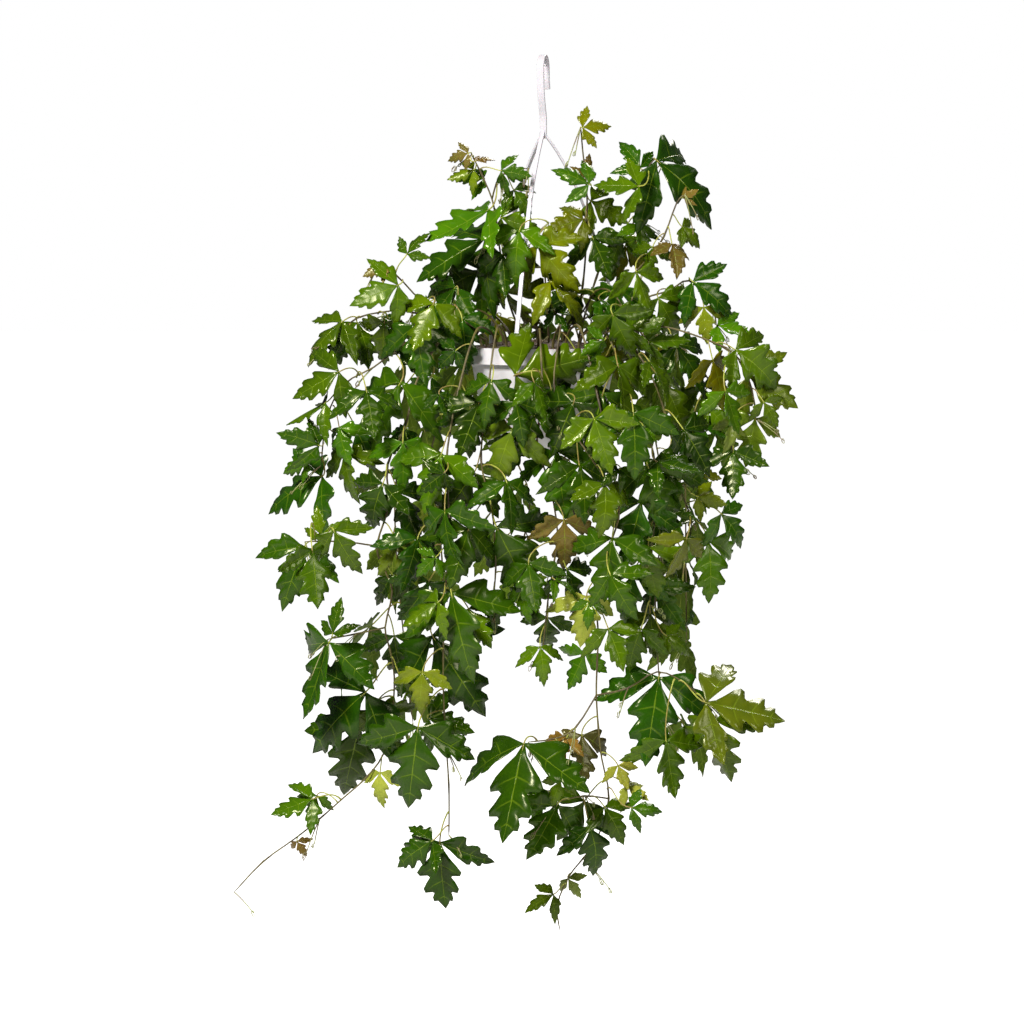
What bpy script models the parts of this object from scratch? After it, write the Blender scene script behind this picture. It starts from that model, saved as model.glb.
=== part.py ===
"""Grape ivy in a white plastic hanging pot, with its moulded white hanger.

Metres, +Z up. The origin is the point inside the hook that bears on what the hanger hangs from, and the pot's axis
is straight below it. The front is -Y, and +X is to the right as seen from the front.
"""

import math
import random
from functools import partial
from typing import NamedTuple

import bmesh
import bpy
from mathutils import Matrix, Vector
from mathutils.bvhtree import BVHTree
from mathutils.geometry import delaunay_2d_cdt, intersect_point_line

CM = 0.01
GAP = 0.0003  # between pieces that touch
SLIVER = 0.000002
UP = Vector((0.0, 0.0, 1.0))

# Hook: a flat strap bent to a hook, its plane turned a little away from the front
STRAP_WIDTH = 0.0075
STRAP_THICK = 0.003
HOOK_INNER_RADIUS = 0.012
HOOK_TURN = math.radians(13.0)
HOOK_TIP_Z = -0.034
NECK_Z = -0.066
PART_Z = -0.084  # where the arms part
TOOTH = 0.0016
TOOTH_COUNT = 3

# Arms: azimuths are from the front, positive to the right
ARM_AZIMUTHS = tuple(math.radians(a) for a in (-19.0, 101.0, -139.0))
ARM_WIDTH = 0.0045
ARM_THICK = 0.0024
TAB_WIDTH = 0.008
TAB_THICK = 0.0018
TAB_RISE = 0.016  # above the rim
TAB_LIP = 0.0022

# The free space between the arms, which leaves and stems keep out of
FREE_TOP_Z = -0.140
FREE_LOW_Z = -0.218
FREE_RADIUS = 0.019

# Pot
RIM_RADIUS = 0.085
RIM_Z = -0.315
BAND_HEIGHT = 0.0176
BAND_STEP = 0.003
POT_HEIGHT = 0.112
BASE_RADIUS = 0.060
WALL = 0.0016
POT_SIDES = 32
DRAIN_RADIUS = 0.004
DRAIN_RING = 0.034
DRAIN_COUNT = 4

# Potting mix
MOUND = 0.010
SOIL_DROP = 0.003  # below the rim at the wall
HOLE_CLEARANCE = 0.0007
HOLE_DEPTH = 0.022

# Stems and leaves
STEM_SIDES = 3
STEM_FOOT_RADIUS = 0.0019
STEM_TIP_RADIUS = 0.0013
LONG_SPAN = 0.05
BLADE_THICK = 0.0010
PETIOLE_HALF = {"large": 0.0009, "middle": 0.0008, "small": 0.0007}
LARGE_LENGTH = 0.070
MIDDLE_LENGTH = 0.045
LATERAL_TURN = math.radians(66.0)
LATERAL_SIZE = 0.80
ROOT_SHARE = 0.7  # a petiole's width where it meets the stem, against its width at the leaf
ROOT_SPACING = 0.004
LEAST_LENGTH = 0.054  # shorter leaves stay only where they stand alone
ALONE_FROM = (0.0, -45.0)
ALONE_DISTANCE = 30.0
TRIALS = 90

# The places of leaves and stems are given as seen from here, in cm, in the plane of the pot's axis
EYE = Vector((0.0, -4.5, -0.15))


class Leaf(NamedTuple):
    """A compound leaf: where its leaflets join, how it lies, and the path of its petiole from the stem."""

    kind: str
    tone: str
    junction: Vector
    along: Vector
    face: Vector
    length: float
    fold: float
    bend: float
    petiole: list


class Vine(NamedTuple):
    """A leafy stem. foot is x, y in the potting mix; routes are x, z, y; leaves are x, z, angle,
    length, tone."""

    name: str
    foot: tuple
    routes: list
    leaves: list


# A leaf's angle is that of its end leaflet, 0 straight down, positive to the right. Tones: dark, green,
# olive, yellow, pale and bronze. A route after a vine's first is a branch and starts on an earlier one.
VINES = [
    Vine("vine_top_right", (2.2, -0.8), [
        [(3.9, -27.0, -1.0), (4.6, -22.0, -1.5), (4.8, -15.5, -2.0), (4.3, -10.0, -2.5), (4.1, -7.6, -2.8)],
    ], [
        (4.3, -7.6, 98, 3.4, "olive"),
        (3.9, -8.2, -66, 3.4, "green"),
        (5.0, -13.8, -119, 4.0, "green"),
        (4.9, -13.0, 172, 2.6, "bronze"),
        (5.2, -15.6, 62, 4.8, "green"),
        (4.4, -17.6, -75, 4.2, "olive"),
        (5.4, -19.6, 25, 5.0, "dark"),
    ]),
    Vine("vine_arching_right", (4.0, 3.2), [
        [(4.9, -27.0, 3.4), (7.0, -21.0, 2.6), (10.1, -17.6, 0.0), (11.0, -13.2, -2.0), (12.1, -11.1, -2.5),
         (13.2, -11.3, -2.5)],
    ], [
        (12.4, -11.2, 53, 9.2, "dark"),
        (10.6, -12.0, -148, 3.8, "dark"),
        (10.5, -14.0, -92, 4.9, "green"),
        (10.6, -18.3, 5, 3.8, "green"),
        (8.6, -19.4, -20, 4.4, "green"),
        (8.9, -20.6, 55, 4.0, "olive"),
    ]),
    Vine("vine_bud_right", (4.2, -1.4), [
        [(7.0, -27.4, -2.0), (9.4, -24.2, -3.5), (11.7, -21.6, -4.5), (13.2, -19.5, -5.0),
         (14.6, -15.8, -5.0),
         (15.5, -14.9, -5.0)],
    ], [
        (15.2, -18.4, 55, 3.2, "green"),
        (14.1, -20.3, 14, 3.8, "bronze"),
        (12.0, -20.6, -12, 3.4, "green"),
        (15.4, -15.3, 125, 1.8, "bronze"),
        (10.2, -23.4, 20, 5.2, "green"),
        (8.2, -25.2, -10, 5.2, "dark"),
    ]),
    Vine("vine_long_right", (6.0, -0.9), [
        [(8.6, -28.3, 0.5), (11.0, -26.3, -1.5), (13.8, -25.4, -3.0), (16.0, -24.3, -4.0),
         (18.4, -27.0, -4.0),
         (19.0, -29.2, -4.0)],
    ], [
        (16.4, -24.4, 55, 5.6, "dark"),
        (15.2, -25.0, -60, 3.0, "green"),
        (17.6, -27.2, 6, 3.9, "yellow"),
        (19.1, -29.2, 74, 4.2, "green"),
        (12.6, -26.2, 30, 5.4, "green"),
        (10.0, -27.6, 70, 4.6, "dark"),
    ]),
    Vine("vine_right_shoulder", (6.5, -2.6), [
        [(9.6, -29.4, -4.5), (14.5, -29.6, -7.5), (19.0, -31.2, -8.5), (21.5, -32.9, -8.5),
         (22.9, -36.2, -8.0),
         (23.4, -39.5, -8.0)],
    ], [
        (21.1, -31.9, 57, 6.1, "green"),
        (22.6, -34.7, 58, 6.0, "yellow"),
        (14.6, -31.4, 38, 6.2, "dark"),
        (18.6, -33.0, 18, 5.4, "olive"),
        (20.0, -36.4, 18, 4.8, "green"),
        (23.3, -39.4, -9, 5.4, "yellow"),
        (24.2, -37.6, 32, 3.2, "green"),
        (20.6, -39.9, 0, 4.2, "pale"),
        (11.4, -31.0, 95, 4.6, "green"),
    ]),
    Vine("vine_right_hanging", (6.9, 0.6), [
        [(10.0, -29.8, -0.8), (15.0, -31.4, -3.0), (18.4, -35.6, -5.0), (20.4, -40.6, -6.0),
         (20.9, -44.0, -6.0)],
    ], [
        (20.9, -43.0, -2, 5.2, "dark"),
        (17.4, -35.8, 24, 6.4, "green"),
        (16.6, -39.0, -5, 5.8, "dark"),
        (19.0, -41.0, 30, 5.2, "green"),
        (18.2, -38.4, 50, 4.4, "green"),
    ]),
    Vine("vine_right_low", (5.3, -4.6), [
        [(8.2, -29.8, -8.4), (12.0, -35.0, -11.5), (14.2, -42.0, -12.5), (15.4, -48.0, -12.5),
         (16.3, -50.4, -12.5),
         (16.2, -52.5, -12.5)],
    ], [
        (18.2, -52.9, 6, 6.6, "green"),
        (19.6, -49.9, 42, 4.6, "dark"),
        (17.6, -45.6, 10, 3.0, "olive"),
        (13.0, -35.4, 32, 6.6, "green"),
        (15.4, -40.6, 36, 6.0, "dark"),
        (13.8, -44.6, -4, 6.2, "dark"),
        (17.0, -48.0, 75, 3.2, "olive"),
        (15.8, -52.6, -20, 4.8, "yellow"),
    ]),
    Vine("vine_front_right", (3.9, -5.6), [
        [(6.6, -29.6, -10.0), (8.6, -34.4, -13.5), (10.0, -39.6, -15.5), (11.9, -42.4, -16.0),
         (12.4, -48.0, -15.0),
         (12.0, -54.0, -14.0), (11.8, -60.0, -13.0)],
    ], [
        (11.5, -44.6, 22, 7.2, "dark"),
        (12.6, -44.2, 78, 5.0, "dark"),
        (8.2, -33.6, 14, 7.2, "green"),
        (6.6, -36.6, -16, 7.2, "dark"),
        (9.9, -38.8, 4, 6.6, "dark"),
        (10.8, -48.6, -14, 7.0, "dark"),
        (12.9, -51.2, 34, 5.2, "dark"),
        (11.6, -53.6, 6, 5.6, "green"),
        (10.0, -56.4, -16, 5.6, "dark"),
        (12.4, -58.2, 34, 5.0, "dark"),
        (11.8, -60.9, 8, 5.0, "green"),
        (13.6, -63.4, 62, 3.6, "green"),
        (10.8, -62.6, -22, 4.6, "green"),
    ]),
    Vine("vine_long_front_right", (2.5, -5.6), [
        [(4.0, -29.4, -10.4), (6.0, -37.0, -14.5), (7.6, -45.0, -17.0), (8.3, -50.4, -17.5),
         (5.8, -58.0, -17.0),
         (6.1, -63.0, -16.5), (5.9, -70.0, -15.5), (6.5, -77.0, -14.0), (7.3, -81.5, -13.0),
         (6.0, -86.0, -12.0),
         (2.9, -90.2, -11.5), (1.6, -93.4, -11.0), (1.9, -96.2, -11.0)],
        [(5.9, -70.0, -15.5), (9.4, -69.2, -17.0), (12.6, -67.4, -17.0), (15.6, -68.6, -16.0),
         (17.6, -70.4, -15.0)],
        [(5.9, -70.0, -15.5), (3.6, -73.6, -16.0), (1.4, -74.8, -16.0), (-1.6, -75.2, -16.0)],
        [(7.3, -81.5, -13.0), (4.6, -81.2, -14.0), (1.8, -81.8, -14.5)],
    ], [
        (12.8, -68.0, -10, 9.2, "dark"),
        (13.6, -66.8, 30, 7.4, "dark"),
        (12.0, -66.6, -82, 3.6, "dark"),
        (13.6, -75.0, 8, 6.4, "green"),
        (18.0, -70.8, 78, 8.6, "yellow"),
        (18.8, -72.8, 14, 7.2, "green"),
        (-2.1, -75.4, -14, 10.4, "dark"),
        (4.3, -74.4, 4, 5.2, "bronze"),
        (2.6, -74.8, -22, 3.2, "bronze"),
        (8.3, -77.8, 24, 2.8, "pale"),
        (9.3, -80.0, 60, 2.8, "pale"),
        (9.8, -82.5, 88, 3.4, "green"),
        (1.6, -82.2, -26, 6.2, "dark"),
        (4.6, -81.8, -34, 5.2, "green"),
        (5.2, -84.6, 18, 5.6, "dark"),
        (6.8, -82.4, 34, 4.4, "green"),
        (2.0, -79.4, -22, 3.0, "green"),
        (-0.2, -80.8, -16, 3.4, "green"),
        (1.2, -92.2, -66, 3.4, "green"),
        (2.8, -90.4, 30, 2.6, "pale"),
        (4.8, -59.0, -2, 5.4, "pale"),
        (7.2, -62.6, 24, 4.6, "green"),
        (4.6, -65.4, -24, 4.4, "green"),
        (7.6, -52.6, -8, 6.6, "dark"),
        (7.4, -56.6, 26, 5.2, "green"),
    ]),
    Vine("vine_twiggy_front", (1.1, -6.5), [
        [(1.9, -29.2, -10.0), (1.2, -35.6, -13.5), (2.1, -39.8, -15.8), (3.9, -41.8, -16.8),
         (5.7, -44.4, -17.5),
         (7.1, -46.3, -17.5)],
    ], [
        (5.6, -43.4, 165, 1.8, "pale"),
        (4.2, -33.2, 25, 6.8, "dark"),
        (3.4, -37.6, -24, 6.4, "dark"),
        (5.6, -39.4, 18, 6.0, "green"),
        (4.0, -44.6, 12, 5.8, "dark"),
        (6.8, -46.6, 5, 5.2, "green"),
    ]),
    Vine("vine_front_centre", (-0.5, -6.2), [
        [(-0.4, -29.6, -10.6), (-0.1, -36.6, -13.6), (-0.6, -42.6, -14.6), (0.8, -47.0, -15.0),
         (1.6, -52.0, -15.5),
         (0.6, -59.0, -15.0), (0.0, -65.0, -14.0)],
    ], [
        (-3.0, -34.7, 104, 8.4, "green"),
        (1.5, -43.0, 6, 7.2, "green"),
        (2.3, -50.6, 4, 5.2, "bronze"),
        (-0.3, -64.6, 10, 3.8, "green"),
        (0.5, -61.4, -6, 4.4, "dark"),
        (-1.6, -55.4, 8, 5.2, "dark"),
        (2.6, -56.0, 20, 5.4, "dark"),
        (1.6, -38.2, 30, 6.6, "dark"),
    ]),
    Vine("vine_front_left_short", (-4.0, -5.2), [
        [(-5.0, -29.4, -10.2), (-6.0, -36.0, -13.0), (-6.8, -44.0, -14.5), (-5.6, -49.6, -15.5),
         (-5.2, -56.0, -15.0),
         (-5.5, -60.0, -14.0)],
    ], [
        (-3.3, -40.6, -24, 6.4, "yellow"),
        (-5.1, -51.4, 26, 8.8, "dark"),
        (-5.5, -59.6, 2, 3.6, "dark"),
        (-2.3, -58.2, 6, 3.8, "green"),
        (-1.7, -52.4, 12, 3.4, "yellow"),
        (-7.6, -45.4, -36, 6.8, "dark"),
        (-7.0, -37.6, -20, 6.2, "dark"),
        (-4.0, -46.4, 12, 5.4, "dark"),
        (-8.2, -51.6, -16, 6.6, "dark"),
    ]),
    Vine("vine_front_left", (-5.2, -4.2), [
        [(-7.2, -29.6, -9.6), (-9.2, -36.0, -13.0), (-10.6, -44.0, -15.0), (-10.2, -52.0, -16.0),
         (-10.8, -58.5, -16.0), (-11.0, -66.0, -14.5), (-10.9, -72.0, -13.0), (-10.4, -80.0, -11.5),
         (-10.4, -85.6, -11.0)],
    ], [
        (-10.1, -58.7, 12, 9.6, "dark"),
        (-12.2, -63.4, 33, 9.8, "dark"),
        (-13.3, -67.4, -6, 4.4, "yellow"),
        (-13.8, -73.6, -7, 8.8, "dark"),
        (-12.6, -72.6, 72, 5.2, "dark"),
        (-11.4, -86.4, 2, 7.4, "dark"),
        (-12.2, -86.2, -60, 4.6, "dark"),
        (-8.0, -38.6, 0, 5.0, "dark"),
        (-11.2, -43.4, -18, 6.6, "green"),
        (-10.8, -49.6, 2, 6.4, "dark"),
        (-13.8, -52.6, -14, 6.0, "dark"),
        (-12.6, -57.4, -30, 5.8, "dark"),
        (-8.2, -60.4, 28, 4.8, "green"),
    ]),
    Vine("vine_long_left", (-6.3, -2.6), [
        [(-10.0, -29.8, -5.0), (-13.6, -34.6, -8.5), (-15.2, -40.5, -11.0), (-17.1, -44.5, -12.0),
         (-17.0, -49.0, -12.5), (-18.3, -53.5, -12.5), (-16.6, -58.5, -12.0), (-17.4, -62.5, -11.5),
         (-16.4, -68.0, -10.5), (-17.6, -76.5, -9.5), (-22.0, -81.4, -9.0), (-27.3, -85.9, -8.5),
         (-31.0, -88.6, -8.0), (-34.2, -92.0, -8.0)],
        [(-18.3, -53.5, -12.5), (-22.0, -53.0, -13.5), (-26.2, -53.0, -13.5)],
        [(-17.4, -62.5, -11.5), (-20.5, -63.2, -12.5), (-23.7, -63.8, -12.5)],
    ], [
        (-26.3, -53.6, -22, 6.6, "green"),
        (-25.4, -54.0, 8, 6.0, "green"),
        (-24.4, -52.4, -168, 3.2, "green"),
        (-23.0, -51.8, 28, 5.0, "green"),
        (-23.6, -64.2, -18, 8.4, "dark"),
        (-23.2, -63.2, 172, 3.9, "dark"),
        (-16.4, -63.4, 6, 5.4, "dark"),
        (-15.9, -53.4, 28, 4.4, "yellow"),
        (-19.6, -69.7, -48, 9.2, "dark"),
        (-20.2, -73.2, -14, 8.4, "dark"),
        (-18.4, -71.6, 24, 5.6, "green"),
        (-15.4, -68.4, 40, 5.2, "green"),
        (-25.5, -81.6, -72, 4.8, "green"),
        (-25.0, -81.2, -20, 3.0, "green"),
        (-27.2, -86.3, 25, 2.0, "bronze"),
        (-18.0, -78.6, -8, 3.6, "pale"),
        (-15.4, -42.0, 0, 5.4, "green"),
        (-17.6, -46.6, -24, 5.4, "dark"),
        (-15.9, -47.6, 24, 5.8, "dark"),
        (-16.6, -56.6, 34, 5.4, "dark"),
    ]),
    Vine("vine_left_far", (-6.9, -0.6), [
        [(-10.0, -29.6, -1.0), (-14.5, -30.8, -5.0), (-18.6, -33.8, -8.0), (-22.0, -35.8, -9.0),
         (-23.8, -39.6, -9.0),
         (-24.4, -44.6, -9.0)],
    ], [
        (-22.4, -34.3, -61, 5.8, "green"),
        (-15.6, -35.4, -34, 7.6, "green"),
        (-23.9, -37.7, -64, 4.8, "green"),
        (-24.6, -42.4, -116, 4.3, "dark"),
        (-22.4, -40.4, 10, 4.2, "green"),
        (-21.8, -43.2, 5, 5.2, "green"),
        (-26.0, -44.2, -74, 2.9, "green"),
        (-24.3, -45.8, -66, 7.6, "dark"),
        (-20.6, -40.4, 25, 5.0, "dark"),
        (-19.4, -36.4, 12, 5.4, "dark"),
    ]),
    Vine("vine_left_shoulder", (-6.2, 1.6), [
        [(-8.2, -29.0, 3.2), (-12.0, -28.2, 0.0), (-16.5, -27.6, -3.0), (-20.4, -28.4, -4.5),
         (-22.6, -30.4, -5.0)],
    ], [
        (-22.0, -28.8, -51, 5.4, "green"),
        (-21.8, -30.6, -30, 4.0, "dark"),
        (-20.4, -28.9, 25, 5.0, "green"),
        (-15.5, -30.6, 106, 6.8, "dark"),
        (-17.4, -28.8, -6, 5.2, "green"),
        (-14.0, -29.2, 10, 6.2, "dark"),
    ]),
    Vine("vine_left_crown", (-4.4, -1.2), [
        [(-6.4, -27.8, -2.5), (-9.8, -27.0, -5.0), (-13.1, -26.6, -6.5), (-16.2, -23.6, -7.0),
         (-18.2, -23.0, -7.0)],
    ], [
        (-14.9, -21.4, 148, 3.2, "green"),
        (-17.4, -22.8, -72, 2.4, "bronze"),
        (-16.0, -22.4, 172, 2.0, "bronze"),
        (-15.9, -24.8, -68, 5.4, "green"),
        (-9.6, -25.0, -38, 5.2, "dark"),
        (-12.0, -26.8, -24, 5.6, "green"),
        (-8.9, -28.4, 8, 5.6, "dark"),
    ]),
    Vine("vine_crown_high", (-2.6, 1.4), [
        [(-3.8, -26.5, 0.0), (-4.8, -20.5, -2.0), (-5.6, -15.4, -3.0), (-7.8, -10.6, -3.0)],
        [(-5.6, -15.4, -3.0), (-4.6, -12.8, -3.5), (-1.6, -12.0, -4.0)],
    ], [
        (-8.2, -10.4, -76, 2.3, "bronze"),
        (-7.6, -12.2, -72, 3.0, "olive"),
        (-7.2, -11.2, 112, 1.8, "bronze"),
        (-4.6, -12.3, 82, 3.2, "green"),
        (-6.5, -13.2, -98, 3.0, "green"),
        (-6.0, -16.6, -62, 7.6, "green"),
        (-6.4, -19.8, -64, 8.4, "dark"),
        (-4.6, -17.4, 72, 4.4, "green"),
        (-4.4, -21.4, 4, 4.8, "dark"),
        (-6.8, -23.2, -66, 7.0, "dark"),
        (-3.2, -14.4, 40, 3.4, "green"),
    ]),
    Vine("vine_crown_front", (0.6, -3.0), [
        [(0.4, -27.2, -3.6), (0.2, -22.4, -4.6), (0.6, -18.0, -4.6)],
    ], [
        (-4.0, -25.6, 29, 6.4, "olive"),
        (-0.6, -20.4, 40, 6.2, "olive"),
        (0.8, -24.4, 48, 6.0, "olive"),
        (1.2, -17.4, -20, 4.6, "olive"),
        (0.9, -16.8, 75, 4.2, "green"),
        (-2.6, -18.8, -10, 5.4, "green"),
    ]),
    Vine("vine_crown_right", (2.4, 1.4), [
        [(4.4, -27.6, 0.0), (5.8, -25.4, -3.5), (7.6, -25.6, -6.5), (9.4, -28.4, -8.5)],
    ], [
        (6.2, -26.4, 60, 5.2, "dark"),
        (9.5, -29.6, 108, 4.0, "green"),
        (5.0, -29.0, -24, 6.2, "dark"),
        (3.4, -25.6, -60, 4.6, "dark"),
        (7.6, -28.0, 26, 5.6, "green"),
    ]),
]

# Vines at the back and sides, which the front doesn't show, follow a rule
BACK_VINES = 6
BACK_AZIMUTHS = (104.0, 250.0)
BACK_FEET_RADIUS = (6.4, 4.2)
BACK_LENGTHS = (20.0, 46.0)
BACK_REACH = (15.0, 24.0)
BACK_LEAF_STEP = 9.0
BACK_LEAF_LENGTHS = (4.2, 8.2)


def seen(x, z, y):
    """The point y cm behind the pot's axis that looks from EYE as if it lay at x, z cm in the axis's
    plane."""
    in_plane = Vector((x, 0.0, z)) * CM
    return EYE.lerp(in_plane, (y * CM - EYE.y) / -EYE.y)


def around(azimuth, radius, z):
    """The point at this angle from the front, positive to the right, this far from the pot's axis."""
    return Vector((math.sin(azimuth) * radius, -math.cos(azimuth) * radius, z))


def smooth_path(points, longest):
    """The points, with a Catmull-Rom point halfway along each stretch that is longer than longest."""
    path = [points[0]]
    for i, (start, end) in enumerate(zip(points, points[1:])):
        before = points[max(i - 1, 0)]
        after = points[min(i + 2, len(points) - 1)]
        if (end - start).length > longest:
            path.append((start + end) * 0.5 + (start + end - before - after) * 0.0625)
        path.append(end)
    return path


def frames_along(points, side):
    """At each point of a path, a direction along it and two across it, carried on without twist."""
    frames = []
    for i, point in enumerate(points):
        ahead = (points[min(i + 1, len(points) - 1)] - points[max(i - 1, 0)]).normalized()
        side = (side - ahead * side.dot(ahead)).normalized()
        frames.append((ahead, side, ahead.cross(side)))
    return frames


def tube(points, radii, sides, capped=True):
    """The vertices and faces of a tube: a ring at each point, faces between them, and closed ends."""
    first_side = Vector((0.9, 0.31, 0.22))
    vertices = []
    for point, radius, (_, side, up) in zip(points, radii, frames_along(points, first_side)):
        for k in range(sides):
            turn = 2 * math.pi * k / sides
            vertices.append(point + (side * math.cos(turn) + up * math.sin(turn)) * radius)
    faces = []
    for ring in range(len(points) - 1):
        for k in range(sides):
            low, low_next = ring * sides + k, ring * sides + (k + 1) % sides
            faces.append((low, low_next, low_next + sides, low + sides))
    if capped:
        faces.append(tuple(reversed(range(sides))))
        faces.append(tuple(range(len(vertices) - sides, len(vertices))))
    return vertices, faces


def bar(stations):
    """The vertices and faces of a bar with four corners at each station: a middle and two half widths."""
    vertices = []
    for middle, across, through in stations:
        vertices += [middle - across - through, middle + across - through]
        vertices += [middle + across + through, middle - across + through]
    faces = []
    for ring in range(len(stations) - 1):
        for k in range(4):
            low, low_next = ring * 4 + k, ring * 4 + (k + 1) % 4
            faces.append((low, low_next, low_next + 4, low + 4))
    faces.append((3, 2, 1, 0))
    faces.append(tuple(range(len(vertices) - 4, len(vertices))))
    return vertices, faces


def mesh_of(name, shape):
    """A mesh from vertices and faces, which face outwards."""
    mesh = bpy.data.meshes.new(name)
    mesh.from_pydata([tuple(v) for v in shape[0]], [], shape[1])
    bm = bmesh.new()
    bm.from_mesh(mesh)
    bmesh.ops.recalc_face_normals(bm, faces=bm.faces)
    bm.to_mesh(mesh)
    bm.free()
    return mesh


def material(name, colour, roughness):
    """A Principled material."""
    made = bpy.data.materials.new(name)
    made.use_nodes = True
    shader = made.node_tree.nodes["Principled BSDF"]
    shader.inputs["Base Color"].default_value = (*colour, 1.0)
    shader.inputs["Roughness"].default_value = roughness
    shader.inputs["Metallic"].default_value = 0.0
    return made


def finished(name, mesh, colour, roughness):
    """The named object, with its own material."""
    piece = bpy.data.objects.new(name, mesh)
    bpy.context.scene.collection.objects.link(piece)
    mesh.materials.clear()
    mesh.materials.append(material(name, colour, roughness))
    return piece


def islands(bm):
    """The sets of faces that hang together."""
    left = set(bm.faces)
    found = []
    while left:
        island = {left.pop()}
        edge_of_island = list(island)
        while edge_of_island:
            face = edge_of_island.pop()
            for edge in face.edges:
                for neighbour in edge.link_faces:
                    if neighbour in left:
                        left.remove(neighbour)
                        island.add(neighbour)
                        edge_of_island.append(neighbour)
        found.append(island)
    return found


def cleaned(mesh):
    """Merges a mesh's slivers, keeps its largest body, and tells whether each edge lies between just
    two faces."""
    bm = bmesh.new()
    bm.from_mesh(mesh)
    bmesh.ops.remove_doubles(bm, verts=bm.verts, dist=SLIVER)
    bmesh.ops.dissolve_degenerate(bm, edges=bm.edges, dist=SLIVER)
    bmesh.ops.triangulate(bm, faces=bm.faces)
    bodies = sorted(islands(bm), key=len)
    for scrap in bodies[:-1]:
        print(f"{mesh.name}: a loose scrap of {len(scrap)} faces dropped")
        bmesh.ops.delete(bm, geom=list(scrap), context="FACES")
    sound = all(edge.is_manifold for edge in bm.edges) and all(vertex.is_manifold for vertex in bm.verts)
    bm.to_mesh(mesh)
    bm.free()
    return sound


def combined(name, base, others, operation):
    """base with the other meshes joined on or cut away, by one Boolean on a collection."""
    group = bpy.data.collections.new(name + "_parts")
    bpy.context.scene.collection.children.link(group)
    for k, mesh in enumerate(others):
        group.objects.link(bpy.data.objects.new(f"{name}_part_{k}", mesh))
    body = bpy.data.objects.new(name + "_body", base)
    bpy.context.scene.collection.objects.link(body)
    boolean = body.modifiers.new("combine", "BOOLEAN")
    boolean.operation = operation
    boolean.operand_type = "COLLECTION"
    boolean.collection = group
    for solver in ("EXACT", "MANIFOLD"):
        boolean.solver = solver
        depsgraph = bpy.context.evaluated_depsgraph_get()
        result = bpy.data.meshes.new_from_object(body.evaluated_get(depsgraph))
        result.name = name
        if cleaned(result):
            break
        print(name, "isn't sound by", solver)
    for part in list(group.objects):
        bpy.data.objects.remove(part)
    bpy.data.collections.remove(group)
    bpy.data.objects.remove(body)
    return result


def hook_path():
    """The strap's middle line, from below the neck over the top to the hook's tip, in the hook's own
    plane."""
    radius = HOOK_INNER_RADIUS + STRAP_THICK / 2
    centre = -HOOK_INNER_RADIUS
    path = [(0.0, PART_Z - 0.004), (0.0, NECK_Z), (-radius * 0.42, NECK_Z + 0.014),
            (-radius * 0.86, NECK_Z + 0.030)]
    for k in range(9):
        turn = math.pi * k / 8
        path.append((-radius * math.cos(turn), centre + radius * math.sin(turn)))
    path.append((radius * 1.04, (centre + HOOK_TIP_Z) / 2))
    path.append((radius * 1.25, HOOK_TIP_Z))
    return path


def hook_shapes():
    """The hook's strap and its small teeth, inside the bend near the tip."""
    inward = Vector((math.sin(HOOK_TURN), math.cos(HOOK_TURN), 0.0))
    broad = Vector((math.cos(HOOK_TURN), -math.sin(HOOK_TURN), 0.0)) * (STRAP_WIDTH / 2)
    points = [inward * s + UP * z for s, z in hook_path()]
    stations = []
    for point, (ahead, _, _) in zip(points, frames_along(points, broad)):
        through = broad.normalized().cross(ahead) * (STRAP_THICK / 2)
        stations.append((point, broad, through))
    shapes = [bar(stations)]
    for k in range(TOOTH_COUNT):
        turn = math.radians(20.0 + 18.0 * k)
        outward = inward * math.cos(turn) + UP * math.sin(turn)
        centre = UP * -HOOK_INNER_RADIUS
        crest = centre + outward * (HOOK_INNER_RADIUS - TOOTH / 2)
        root = centre + outward * (HOOK_INNER_RADIUS + STRAP_THICK / 3)
        tangent = broad.normalized().cross(outward)
        shapes.append(bar([(crest, broad * 0.6, tangent * TOOTH * 0.2),
                           (root, broad * 0.6, tangent * TOOTH * 0.7)]))
    return shapes


def arm_path(azimuth):
    """An arm's middle line, from the neck down to the top of its tab."""
    top = PART_Z + 0.003 + 0.001 * math.cos(azimuth)
    low = RIM_Z + TAB_RISE
    reach = RIM_RADIUS + GAP + TAB_THICK / 2 + 0.0012
    spots = [(0.0, 0.0), (0.14, 0.10), (0.32, 0.26), (0.52, 0.48), (0.72, 0.70), (0.88, 0.88), (1.0, 1.0)]
    return [around(azimuth, reach * share, top + (low - top) * fall) for share, fall in
            ((s + 0.10 * math.sin(math.pi * s), f) for s, f in spots)]


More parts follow.
